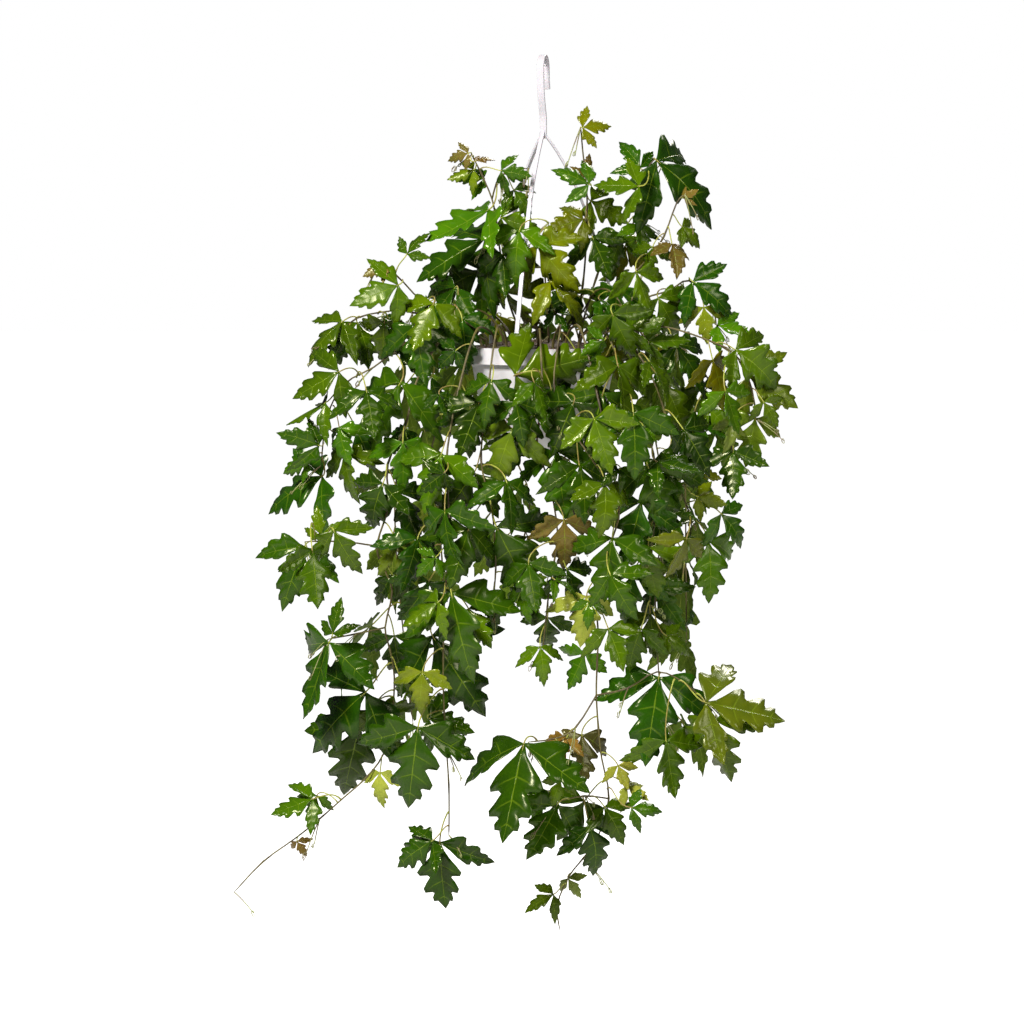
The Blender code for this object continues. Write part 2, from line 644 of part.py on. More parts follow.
def arm_shapes(azimuth):
    """An arm and its tab, which lies on the rim's band and hooks under it."""
    path = arm_path(azimuth)
    outward = around(azimuth, 1.0, 0.0)
    broad = UP.cross(outward)
    stations = []
    for point, (ahead, _, _) in zip(path, frames_along(path, broad)):
        stations.append((point, broad * (ARM_WIDTH / 2), broad.cross(ahead) * (ARM_THICK / 2)))
    middle = RIM_RADIUS + GAP + TAB_THICK / 2
    band_low = RIM_Z - BAND_HEIGHT
    half = outward * (TAB_THICK / 2)
    tab = [
        (around(azimuth, middle + 0.0012, RIM_Z + TAB_RISE + 0.002), broad * (ARM_WIDTH / 2 + 0.0003), half),
        (around(azimuth, middle + 0.0004, RIM_Z + TAB_RISE * 0.5), broad * (TAB_WIDTH / 2), half),
        (around(azimuth, middle, RIM_Z - BAND_HEIGHT * 0.5), broad * (TAB_WIDTH / 2), half),
        (around(azimuth, middle, band_low - GAP - TAB_LIP), broad * (ARM_WIDTH / 2), half),
    ]
    lip_middle = band_low - GAP - TAB_LIP / 2
    lip_half = broad * (ARM_WIDTH / 2 - 0.0004)
    inner = middle - TAB_LIP - TAB_THICK / 2
    lip = [
        (around(azimuth, inner, lip_middle), lip_half, UP * (TAB_LIP / 2 - 0.0001)),
        (around(azimuth, middle, lip_middle), lip_half, UP * (TAB_LIP / 2 - 0.0001)),
    ]
    return [bar(stations), bar(tab), bar(lip)]


def make_hanger():
    """One moulded piece: hook, neck, three arms and their tabs."""
    shapes = hook_shapes()
    for azimuth in ARM_AZIMUTHS:
        shapes += arm_shapes(azimuth)
    meshes = [mesh_of("hanger_part", shape) for shape in shapes]
    finished("hanger", combined("hanger", meshes[0], meshes[1:], "UNION"), (0.86, 0.84, 0.88), 0.35)


def turned_profile(name, profile, sides):
    """A closed mesh from a profile of radius and height, spun round the axis."""
    bm = bmesh.new()
    ring = [bm.verts.new((radius, 0.0, z)) for radius, z in profile]
    edges = [bm.edges.new(pair) for pair in zip(ring, ring[1:])]
    bmesh.ops.spin(bm, geom=ring + edges, axis=UP, cent=(0.0, 0.0, 0.0), angle=math.tau, steps=sides,
                   use_merge=True)
    bmesh.ops.remove_doubles(bm, verts=bm.verts, dist=1e-6)
    bmesh.ops.recalc_face_normals(bm, faces=bm.faces)
    mesh = bpy.data.meshes.new(name)
    bm.to_mesh(mesh)
    bm.free()
    return mesh


def wall_radius(z):
    """The outer radius of the pot's wall at a height, below the band."""
    share = (RIM_Z - z) / POT_HEIGHT
    return (RIM_RADIUS - BAND_STEP) * (1 - share) + BASE_RADIUS * share


def make_pot():
    """A tapered pot with an outward band at its rim and drain holes in its floor."""
    base_z = RIM_Z - POT_HEIGHT
    band_low = RIM_Z - BAND_HEIGHT
    floor_z = base_z + WALL + 0.002
    profile = [
        (0.0, floor_z),
        (wall_radius(floor_z) - WALL - 0.002, floor_z),
        (wall_radius(floor_z + 0.002) - WALL, floor_z + 0.002),
        (wall_radius(band_low) - WALL, band_low),
        (RIM_RADIUS - BAND_STEP - WALL, RIM_Z),
        (RIM_RADIUS, RIM_Z),
        (RIM_RADIUS, band_low),
        (wall_radius(band_low), band_low),
        (wall_radius(base_z + 0.002), base_z + 0.002),
        (BASE_RADIUS - 0.002, base_z),
        (BASE_RADIUS - 0.008, base_z),
        (BASE_RADIUS - 0.010, base_z + 0.002),
        (0.0, base_z + 0.002),
    ]
    body = turned_profile("pot", profile, POT_SIDES)
    cutters = []
    for k in range(DRAIN_COUNT):
        place = around(math.tau * k / DRAIN_COUNT, DRAIN_RING, 0.0)
        ends = [place + UP * (base_z - 0.002), place + UP * (floor_z + 0.002)]
        cutters.append(mesh_of("drain", tube(ends, (DRAIN_RADIUS, DRAIN_RADIUS), 6)))
    mesh = combined("pot", body, cutters, "DIFFERENCE")
    mesh.shade_smooth()
    mesh.set_sharp_from_angle(angle=math.radians(30.0))
    finished("pot", mesh, (0.84, 0.83, 0.86), 0.4)


def soil_z(radius):
    """The height of the potting mix at a distance from the axis."""
    return RIM_Z - SOIL_DROP + MOUND * (1 - (radius / RIM_RADIUS) ** 2)


def make_soil(feet):
    """The potting mix down to the pot's floor, mounded, with a plain hole for each stem."""
    floor_z = RIM_Z - POT_HEIGHT + WALL + 0.002 + GAP
    top_radius = RIM_RADIUS - BAND_STEP - WALL - 4 * GAP
    profile = [(0.0, floor_z), (wall_radius(floor_z) - WALL - 0.002 - 2 * GAP, floor_z)]
    band_low = RIM_Z - BAND_HEIGHT
    profile.append((wall_radius(band_low) - WALL - 2 * GAP, band_low))
    profile.append((top_radius, soil_z(top_radius)))
    for share in (0.72, 0.4):
        profile.append((top_radius * share, soil_z(top_radius * share)))
    profile.append((0.0, soil_z(0.0)))
    body = turned_profile("soil", profile, 20)
    cutters = []
    for foot in feet:
        ends = [foot - UP * GAP, foot + UP * 0.05]
        radius = STEM_FOOT_RADIUS + HOLE_CLEARANCE
        cutters.append(mesh_of("hole", tube(ends, (radius, radius), 6)))
    mesh = combined("soil", body, cutters, "DIFFERENCE")
    finished("soil", mesh, (0.055, 0.035, 0.024), 0.95)


# The flat leaf is drawn with its leaflets joined at the origin and its end leaflet one unit long, along
# +Y. Each list is one side of a leaflet from its base to its tip: distance across the rib, distance along
# it.
END_SIDE = {
    "large": [(0.34, 0.41), (0.14, 0.48), (0.28, 0.70), (0.10, 0.76)],
    "middle": [(0.34, 0.41), (0.14, 0.48), (0.28, 0.70), (0.10, 0.76)],
    "small": [(0.28, 0.55)],
}
LATERAL_OUTER = {
    "large": [(0.36, 0.40), (0.16, 0.56)],
    "middle": [(0.36, 0.42), (0.15, 0.58)],
    "small": [(0.24, 0.45)],
}
LATERAL_INNER = {"large": [(0.14, 0.56)], "middle": [], "small": []}
BETWEEN = (0.06, 0.12)
BASE_HALF = 0.020
RIB = {"large": [0.05, 0.50], "middle": [0.40], "small": []}
MIDDLE_STATION = {"large": True, "middle": False, "small": False}


class Template(NamedTuple):
    """A flat leaf: its points, the triangles between them, and the numbers of its outline and petiole
    points."""

    points: list
    triangles: list
    outline: list
    petiole: list


def leaf_template(kind):
    """The flat leaf of a kind, with its petiole as a narrow strip below it."""
    ahead = Vector((math.sin(LATERAL_TURN), math.cos(LATERAL_TURN)))
    away = Vector((math.cos(LATERAL_TURN), -math.sin(LATERAL_TURN)))
    right = []
    for across, along in LATERAL_OUTER[kind]:
        right.append((ahead * along + away * across) * LATERAL_SIZE)
    right.append(ahead * LATERAL_SIZE)
    for across, along in LATERAL_INNER[kind]:
        right.append((ahead * along - away * across) * LATERAL_SIZE)
    right.append(Vector(BETWEEN))
    right += [Vector(spot) for spot in END_SIDE[kind]]
    stations = [-0.5, -0.25] if MIDDLE_STATION[kind] else [-0.5]
    strip = [Vector((BASE_HALF, y)) for y in stations] + [Vector((BASE_HALF, 0.0))]
    half = strip + right
    outline = half + [Vector((0.0, 1.0))] + [Vector((-p.x, p.y)) for p in reversed(half)]
    points = outline + [Vector((0.0, y)) for y in RIB[kind]]
    numbers = list(range(len(outline)))
    rib = numbers[len(half):len(half) + 1] + list(range(len(points) - 1, len(outline) - 1, -1))
    result = delaunay_2d_cdt(points, list(zip(rib, rib[1:])), [numbers], 1, 1e-6)
    back = [originals[0] for originals in result[3]]
    triangles = [tuple(back[i] for i in face) for face in result[2]]
    count = len(stations)
    petiole = [(k, len(outline) - 1 - k) for k in range(count)]
    return Template(points, triangles, numbers, petiole)


def leaf_solid(leaf, template, extra=0.0, blade_only=False):
    """The vertices and triangles of a leaf as one thin arched solid, thicker by extra on each face."""
    side = leaf.along.cross(leaf.face)
    centres = []
    halves = []
    for point in template.points:
        across, along = point.x * math.cos(leaf.fold), point.y
        drop = abs(point.x) * math.sin(leaf.fold) + leaf.bend * point.length_squared / 2
        centres.append(leaf.junction + (side * across + leaf.along * along - leaf.face * drop) * leaf.length)
        halves.append(leaf.face * (BLADE_THICK / 2 + extra))
    half = PETIOLE_HALF[leaf.kind]
    path = [leaf.petiole[0], leaf.petiole[len(leaf.petiole) // 2]][:len(template.petiole)] + [leaf.junction]
    frames = frames_along(list(reversed(path)), side)
    for k, (right, left) in enumerate(template.petiole):
        ahead, across, _ = frames[len(path) - 1 - k]
        for number, way in ((right, 1.0), (left, -1.0)):
            width = half * (ROOT_SHARE if k == 0 else 1.0)
            centres[number] = path[k] + across * (width * way)
            halves[number] = across.cross(-ahead) * (width + extra)
    first = len(template.petiole)
    for number, way in ((first, 1.0), (len(template.outline) - 1 - first, -1.0)):
        centres[number] = leaf.junction + side * (half * way)
        halves[number] = leaf.face * (half * 0.8 + extra)
    skip = {number for pair in template.petiole for number in pair} if blade_only else set()
    count = len(centres)
    vertices = [c + h for c, h in zip(centres, halves)] + [c - h for c, h in zip(centres, halves)]
    faces = []
    for a, b, c in template.triangles:
        if not skip.intersection((a, b, c)):
            faces += [(a, b, c), (c + count, b + count, a + count)]
    for a, b in zip(template.outline, template.outline[1:] + template.outline[:1]):
        if not skip.intersection((a, b)):
            faces.append((a + count, b + count, b, a))
    return vertices, faces


def nearest_on(paths, spot):
    """The point on the paths that is nearest to a spot."""
    best = None
    for path in paths:
        for start, end in zip(path, path[1:]):
            point, share = intersect_point_line(spot, start, end)
            point = start.lerp(end, min(max(share, 0.0), 1.0))
            if best is None or (point - spot).length < (best - spot).length:
                best = point
    return best


def petiole_path(root, junction, along):
    """A petiole's middle line, leaving the stem upwards and coming in along the end leaflet."""
    reach = (junction - root).length
    first = root + (junction - root) * 0.25 + UP * (reach * 0.25)
    second = junction - along * (reach * 0.35)
    path = []
    for k in range(9):
        t = k / 8
        path.append(root * (1 - t) ** 3 + first * (3 * t * (1 - t) ** 2) + second * (3 * t * t * (1 - t))
                    + junction * t ** 3)
    return path


def kind_of(length):
    """A leaf's kind, by the length of its end leaflet in metres."""
    if length >= LARGE_LENGTH:
        return "large"
    return "middle" if length >= MIDDLE_LENGTH else "small"


def drafted(junction, along, facing, turn, length, tone, paths, draw):
    """A leaf at a place, with its petiole led to the nearest stem."""
    face = (facing - along * facing.dot(along)).normalized()
    face = Matrix.Rotation(turn, 3, along) @ face
    root = nearest_on(paths, junction - along * (length * 0.35) + UP * 0.006)
    fold = math.radians(draw.uniform(2.0, 26.0))
    bend = draw.uniform(0.12, 0.55)
    return Leaf(kind_of(length), tone, junction, along, face, length, fold, bend,
                petiole_path(root, junction, along))


def leaf_as_seen(row, paths, depth, draw, trial):
    """A leaf from its row, at a depth near its stem's, turned a little by the draw."""
    x, z, angle, length, tone = row
    loose = 1.0 + trial * 0.05
    y = depth + draw.uniform(-2.6, 0.8) * loose
    turn = math.radians(draw.uniform(-24.0, 24.0) * loose)
    pitch = draw.uniform(-0.45, 0.25)
    angle = math.radians(angle)
    along = Vector((math.sin(angle), pitch, -math.cos(angle))).normalized()
    junction = seen(x, z, y)
    outward = Vector((junction.x, junction.y, 0.0)).normalized()
    facing = Vector((0.0, -0.75, 0.45)) + outward * 0.35
    return drafted(junction, along, facing, turn, length * CM * draw.uniform(1.0, 1.06), tone, paths, draw)


def leaf_of_back(junction, outward, length, tone, paths, draw, trial):
    """A leaf of a back vine, which faces outwards and hangs."""
    loose = 1.0 + trial * 0.06
    junction = junction + Vector([draw.uniform(-0.012, 0.012) * loose for _ in range(3)])
    swing = Matrix.Rotation(math.radians(draw.uniform(-70.0, 70.0)), 3, outward)
    along = (swing @ -UP + outward * draw.uniform(0.0, 0.45)).normalized()
    facing = outward + UP * 0.5
    turn = math.radians(draw.uniform(-25.0, 25.0) * loose)
    return drafted(junction, along, facing, turn, length * CM, tone, paths, draw)


class Placed(NamedTuple):
    """Something that leaves and stems keep clear of: all of it, and the part that its own vine keeps
    clear of."""

    vine: str
    whole: BVHTree
    free: BVHTree
    root: Vector


def as_tree(*shapes):
    """A search tree of one or more shapes."""
    vertices = []
    faces = []
    for shape in shapes:
        start = len(vertices)
        vertices += [tuple(v) for v in shape[0]]
        faces += [tuple(number + start for number in face) for face in shape[1]]
    return BVHTree.FromPolygons(vertices, faces)


def placed_stem(vine, path):
    """A stem for leaves to keep clear of, a little wider than it is."""
    tree = as_tree(tube(path, [STEM_FOOT_RADIUS + GAP] * len(path), STEM_SIDES))
    return Placed(vine, tree, tree, path[0])


def placed_leaf(vine, leaf, template):
    """A leaf to keep clear of. Within its own vine its petiole counts only away from the stem."""
    stalk = leaf.petiole[len(leaf.petiole) // 3:]
    free = as_tree(leaf_solid(leaf, template, GAP, blade_only=True), tube(stalk, [0.001] * len(stalk), 3))
    return Placed(vine, as_tree(leaf_solid(leaf, template, GAP)), free, leaf.petiole[0])


def is_clear(placed, new):
    """Whether something new clears all that is placed."""
    for other in placed:
        if other.vine == new.vine:
            if new.free.overlap(other.free) or (new.root - other.root).length < ROOT_SPACING:
                return False
        elif new.whole.overlap(other.whole):
            return False
    return True


def barriers():
    """Simple shapes round the pot and the hanger, which stems and leaves keep out of."""
    heights = (RIM_Z - POT_HEIGHT - 0.001, RIM_Z - BAND_HEIGHT - 0.003, RIM_Z)
    radii = (BASE_RADIUS + 0.001, RIM_RADIUS + 0.001, RIM_RADIUS + 0.002)
    shapes = [tube([Vector((0.0, 0.0, z)) for z in heights], radii, 24, capped=False)]
    lip = [Vector((0.0, 0.0, RIM_Z - 0.001)), Vector((0.0, 0.0, RIM_Z + 0.002))]
    shapes.append(tube(lip, (RIM_RADIUS + 0.001, RIM_RADIUS - 0.001), 24, capped=False))
    shapes.append(tube(lip, (RIM_RADIUS - 0.006, RIM_RADIUS - 0.005), 24, capped=False))
    for azimuth in ARM_AZIMUTHS:
        path = arm_path(azimuth)
        path.append(around(azimuth, RIM_RADIUS + 0.002, RIM_Z - BAND_HEIGHT - 0.004))
        shapes.append(tube(path, [0.0042] * (len(path) - 2) + [0.006, 0.006], 6))
    shapes.append(tube([UP * 0.004, UP * (PART_Z + 0.004)], [0.022, 0.008], 8))
    shapes.append(tube([UP * FREE_TOP_Z, UP * FREE_LOW_Z], [FREE_RADIUS, FREE_RADIUS], 8))
    return shapes


def soil_barrier():
    """A disc just above the potting mix, which leaves stay over."""
    middles = [Vector((0.0, 0.0, RIM_Z - 0.002)), Vector((0.0, 0.0, RIM_Z + 0.0085))]
    return tube(middles, (RIM_RADIUS - 0.004, RIM_RADIUS * 0.55), 16)


def wandered(points, draw, amount):
    """A route with its inner points moved a little, its first two and its last left where they are."""
    moved = [p + Vector([draw.uniform(-amount, amount) for _ in range(3)]) for p in points]
    return points[:2] + moved[2:-1] + points[-1:]


def stem_radii(path, first, last):
    """The stem's radius at each point of a path, thinner towards the tip."""
    return [first + (last - first) * k / (len(path) - 1) for k in range(len(path))]


def foot_points(x, y):
    """Where a stem stands in its hole, and where it leaves the potting mix."""
    flat = Vector((x, y, 0.0)) * CM
    top = soil_z(flat.length)
    return [flat + UP * (top - HOLE_DEPTH), flat + UP * (top + 0.007)]


def stem_shapes(paths):
    """The tubes of a vine's stem and branches."""
    shapes = [tube(paths[0], stem_radii(paths[0], STEM_FOOT_RADIUS, STEM_TIP_RADIUS), STEM_SIDES)]
    for path in paths[1:]:
        shapes.append(tube(path, stem_radii(path, STEM_TIP_RADIUS * 1.1, STEM_TIP_RADIUS), STEM_SIDES))
    return shapes


def settle_stem(name, foot, routes, placed):
    """A vine's stem paths, with its inner points moved till they clear what is there already."""
    for trial in range(TRIALS):
        draw = random.Random(f"{name} stem {trial}")
        amount = 0.0004 * trial
        trunk = foot + wandered(routes[0], draw, amount)
        paths = [smooth_path(trunk, LONG_SPAN)]
        for route in routes[1:]:
            start = nearest_on(paths, route[0])
            branch = [start] + wandered(route, draw, amount)[1:]
            paths.append(smooth_path(branch, LONG_SPAN))
        if all(is_clear(placed, placed_stem(name, path)) for path in paths):
            return paths
    print("stem left touching:", name)
    return paths


def back_vine(number):
    """The foot, the route and the leaf places of a vine at the back, by rule."""
    draw = random.Random(f"back vine {number}")
    low, high = BACK_AZIMUTHS
    azimuth = math.radians(low + (high - low) * (number + 0.5) / BACK_VINES)
    outward = around(azimuth, 1.0, 0.0)
    foot_radius = BACK_FEET_RADIUS[number % 2]
    length = draw.uniform(*BACK_LENGTHS)
    reach = draw.uniform(*BACK_REACH)
    rise = draw.uniform(2.0, 9.0)
    route = [outward * ((RIM_RADIUS / CM) + 1.4) + UP * (RIM_Z / CM + 1.6 + rise * 0.5)]
    for k in range(1, 6):
        share = k / 5
        out = RIM_RADIUS / CM + 1.4 + (reach - RIM_RADIUS / CM - 1.4) * math.sin(share * math.pi * 0.62)
        z = RIM_Z / CM + 1.6 + rise * math.cos(share * 1.7) * 0.5 - length * share ** 1.5
        sway = math.radians(draw.uniform(-9.0, 9.0)) * share
        route.append(around(azimuth + sway, out, z))
    return math.sin(azimuth) * foot_radius, -math.cos(azimuth) * foot_radius, [p * CM for p in route], draw


def stays(x, z, length):
    """Whether a leaf is built: a long one is, and a short one where it stands alone, away from the
    crown."""
    return length * CM >= LEAST_LENGTH or math.hypot(x - ALONE_FROM[0], z - ALONE_FROM[1]) > ALONE_DISTANCE


def leaf_jobs(stems, back_draws):
    """For each leaf, its vine, its number there, and a function that drafts it for a trial's random
    draw."""
    jobs = []
    for vine in VINES:
        paths = stems[vine.name]
        for k, row in enumerate(vine.leaves):
            if stays(row[0], row[1], row[3]):
                depth = depth_at(paths, row[0], row[1])
                jobs.append((vine.name, k, partial(leaf_as_seen, row, paths, depth)))
    for name, draw in back_draws.items():
        paths = stems[name]
        for k, spot in enumerate(back_leaves(paths[0], draw)):
            jobs.append((name, k, partial(leaf_of_back, *spot, paths)))
    return jobs


def lay_out():
    """Every vine: its stem's paths and its leaves, each clear of all that was placed before it."""
    templates = {kind: leaf_template(kind) for kind in END_SIDE}
    placed = [Placed("", as_tree(shape), None, None) for shape in barriers()]
    stems = {}
    back_draws = {}
    for vine in VINES:
        routes = [[seen(x, z, y) for x, z, y in route] for route in vine.routes]
        stems[vine.name] = settle_stem(vine.name, foot_points(*vine.foot), routes, placed)
        placed += [placed_stem(vine.name, path) for path in stems[vine.name]]
    for number in range(BACK_VINES):
        name = f"vine_back_{number + 1}"
        x, y, route, back_draws[name] = back_vine(number)
        stems[name] = settle_stem(name, foot_points(x, y), [route], placed)
        placed += [placed_stem(name, path) for path in stems[name]]
    placed.append(Placed("", as_tree(soil_barrier()), None, None))
    leaves = {name: [] for name in stems}
    dropped = []
    for name, k, draft in leaf_jobs(stems, back_draws):
        for trial in range(TRIALS):
            leaf = draft(random.Random(f"{name} leaf {k} {trial}"), trial)
            new = placed_leaf(name, leaf, templates[leaf.kind])
            if is_clear(placed, new):
                leaves[name].append(leaf)
                placed.append(new)
                break
        else:
            dropped.append((name, k))
    print("leaves with no room:", dropped)
    return stems, leaves, templates


def depth_at(paths, x, z):
    """How far back, in cm, the stem lies where it looks nearest to x, z."""
    spot = Vector((x * CM, 0.0, z * CM))
    best = min((p for path in paths for p in path),
               key=lambda p: (Vector((p.x, 0.0, p.z)) - spot).length)
    return best.y / CM


def back_leaves(path, draw):
    """Places, outward directions, lengths and tones of the leaves along a back vine."""
    spots = []
    travelled = 0.0
    due = BACK_LEAF_STEP * CM * 1.6
    for start, end in zip(path, path[1:]):
        step = (end - start).length
        while travelled + step >= due:
            place = start.lerp(end, (due - travelled) / step)
            outward = Vector((place.x, place.y, 0.0)).normalized()
            sideways = outward.cross(UP) * draw.choice((-1.0, 1.0)) * 0.022
            length = draw.uniform(*BACK_LEAF_LENGTHS)
            tone = draw.choice(("dark", "dark", "green"))
            spots.append((place + outward * 0.018 + sideways, outward, length, tone))
            due += BACK_LEAF_STEP * CM
        travelled += step
    return spots


def make_vines():
    """Each vine as one solid: its stem, branches, petioles and leaves fused."""
    stems, leaves, templates = lay_out()
    for name, paths in stems.items():
        shapes = stem_shapes(paths) + [leaf_solid(leaf, templates[leaf.kind]) for leaf in leaves[name]]
        meshes = [mesh_of(f"{name}_part", shape) for shape in shapes]
        mesh = combined(name, meshes[0], meshes[1:], "UNION")
        finished(name, mesh, (0.045, 0.16, 0.035), 0.4)
    return [paths[0][0] for paths in stems.values()]


def main():
    for thing in list(bpy.data.objects):
        bpy.data.objects.remove(thing)
    make_hanger()
    make_pot()
    make_soil(make_vines())
    total = 0
    for piece in bpy.context.scene.objects:
        piece.data.calc_loop_triangles()
        total += len(piece.data.loop_triangles)
        print(f"{piece.name}: {len(piece.data.loop_triangles)} triangles")
    print("triangles in all:", total)


main()
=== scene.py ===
# %% [markdown]
# # Grape ivy in a hanging pot: the looks
#
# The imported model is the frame: a hanger with a hook, a pot, potting mix and faceted vines. This script
# keeps every place and size of it. It draws the same vines again with fine leaflets, veins and round
# stems, adds small leaves, tendrils and crumbs of bark, and gives each surface its finish.

import math
import random
from functools import partial
from typing import NamedTuple

import bmesh
import bpy
from mathutils import Matrix, Vector
from mathutils.bvhtree import BVHTree
from mathutils.geometry import delaunay_2d_cdt, intersect_point_line


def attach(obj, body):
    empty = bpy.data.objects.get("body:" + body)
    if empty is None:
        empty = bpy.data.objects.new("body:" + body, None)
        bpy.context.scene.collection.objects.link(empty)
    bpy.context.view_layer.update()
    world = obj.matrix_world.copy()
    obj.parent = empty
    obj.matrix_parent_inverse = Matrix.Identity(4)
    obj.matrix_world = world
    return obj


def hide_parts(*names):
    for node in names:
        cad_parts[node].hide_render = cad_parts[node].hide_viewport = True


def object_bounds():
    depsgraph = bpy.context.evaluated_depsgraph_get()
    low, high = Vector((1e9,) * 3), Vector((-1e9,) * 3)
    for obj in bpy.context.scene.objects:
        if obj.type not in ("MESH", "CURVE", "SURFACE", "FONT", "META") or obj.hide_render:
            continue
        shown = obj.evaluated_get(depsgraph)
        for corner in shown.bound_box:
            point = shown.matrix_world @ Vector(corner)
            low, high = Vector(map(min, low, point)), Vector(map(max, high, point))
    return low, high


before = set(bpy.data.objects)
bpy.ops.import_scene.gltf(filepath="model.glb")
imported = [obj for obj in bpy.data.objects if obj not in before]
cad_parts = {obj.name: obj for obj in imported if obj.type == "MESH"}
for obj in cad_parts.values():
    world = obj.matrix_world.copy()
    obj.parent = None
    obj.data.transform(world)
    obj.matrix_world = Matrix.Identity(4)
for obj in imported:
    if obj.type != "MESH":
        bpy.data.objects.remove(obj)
frame_box = [list(corner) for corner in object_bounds()]
print("nodes:", len(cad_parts), "box:", frame_box)

# %% [markdown]
# ## The sizes of the solids
#
# The vines are grown by a rule with seeded draws. The same sizes, the same table and the same draws give
# the same leaves in the same places as in the solids, so these values are those of the solids' script.

# %% Sizes of the hanger, the pot and the mix
CM = 0.01
GAP = 0.0003  # between pieces that touch
UP = Vector((0.0, 0.0, 1.0))
STRAP_WIDTH = 0.0075
STRAP_THICK = 0.003
HOOK_INNER_RADIUS = 0.012
HOOK_TURN = math.radians(13.0)
HOOK_TIP_Z = -0.034
NECK_Z = -0.066
PART_Z = -0.084  # where the arms part
TOOTH = 0.0016
TOOTH_COUNT = 3
ARM_AZIMUTHS = tuple(math.radians(a) for a in (-19.0, 101.0, -139.0))
ARM_WIDTH = 0.0045
ARM_THICK = 0.0024
TAB_WIDTH = 0.008
TAB_THICK = 0.0018
TAB_RISE = 0.016  # above the rim
TAB_LIP = 0.0022
FREE_TOP_Z = -0.140
FREE_LOW_Z = -0.218
FREE_RADIUS = 0.019
RIM_RADIUS = 0.085
RIM_Z = -0.315
BAND_HEIGHT = 0.0176
BAND_STEP = 0.003
POT_HEIGHT = 0.112
BASE_RADIUS = 0.060
WALL = 0.0016
MOUND = 0.010
SOIL_DROP = 0.003  # below the rim at the wall
HOLE_DEPTH = 0.022

# %% Sizes of stems and leaves, and the eye that the places are seen from
STEM_SIDES = 3
STEM_FOOT_RADIUS = 0.0019
STEM_TIP_RADIUS = 0.0013
LONG_SPAN = 0.05
BLADE_THICK = 0.0010
PETIOLE_HALF = {"large": 0.0009, "middle": 0.0008, "small": 0.0007}
LARGE_LENGTH = 0.070
MIDDLE_LENGTH = 0.045
LATERAL_TURN = math.radians(66.0)
LATERAL_SIZE = 0.80
ROOT_SHARE = 0.7  # a petiole's width where it meets the stem, against its width at the leaf
ROOT_SPACING = 0.004
LEAST_LENGTH = 0.054  # shorter leaves stay only where they stand alone
ALONE_FROM = (0.0, -45.0)
ALONE_DISTANCE = 30.0
TRIALS = 90
EYE = Vector((0.0, -4.5, -0.15))

# %% [markdown]
# ## The table of vines
#
# On the real plant each vine is a flexible stem with a compound leaf at every joint. The vines that show
# from the front are listed one by one: where the stem stands in the mix, where it runs, and where each
# leaf's three leaflets join. A leaf's angle is that of its end leaflet, 0 straight down and positive to
# the right.


# %% Vines and leaves as records
class Leaf(NamedTuple):
    """A compound leaf: where its leaflets join, how it lies, and the path of its petiole from the stem."""

    kind: str
    tone: str
    junction: Vector
    along: Vector
    face: Vector
    length: float
    fold: float
    bend: float
    petiole: list


class Vine(NamedTuple):
    """A leafy stem. foot is x, y in the potting mix; routes are x, z, y; leaves are x, z, angle,
    length, tone."""

    name: str
    foot: tuple
    routes: list
    leaves: list
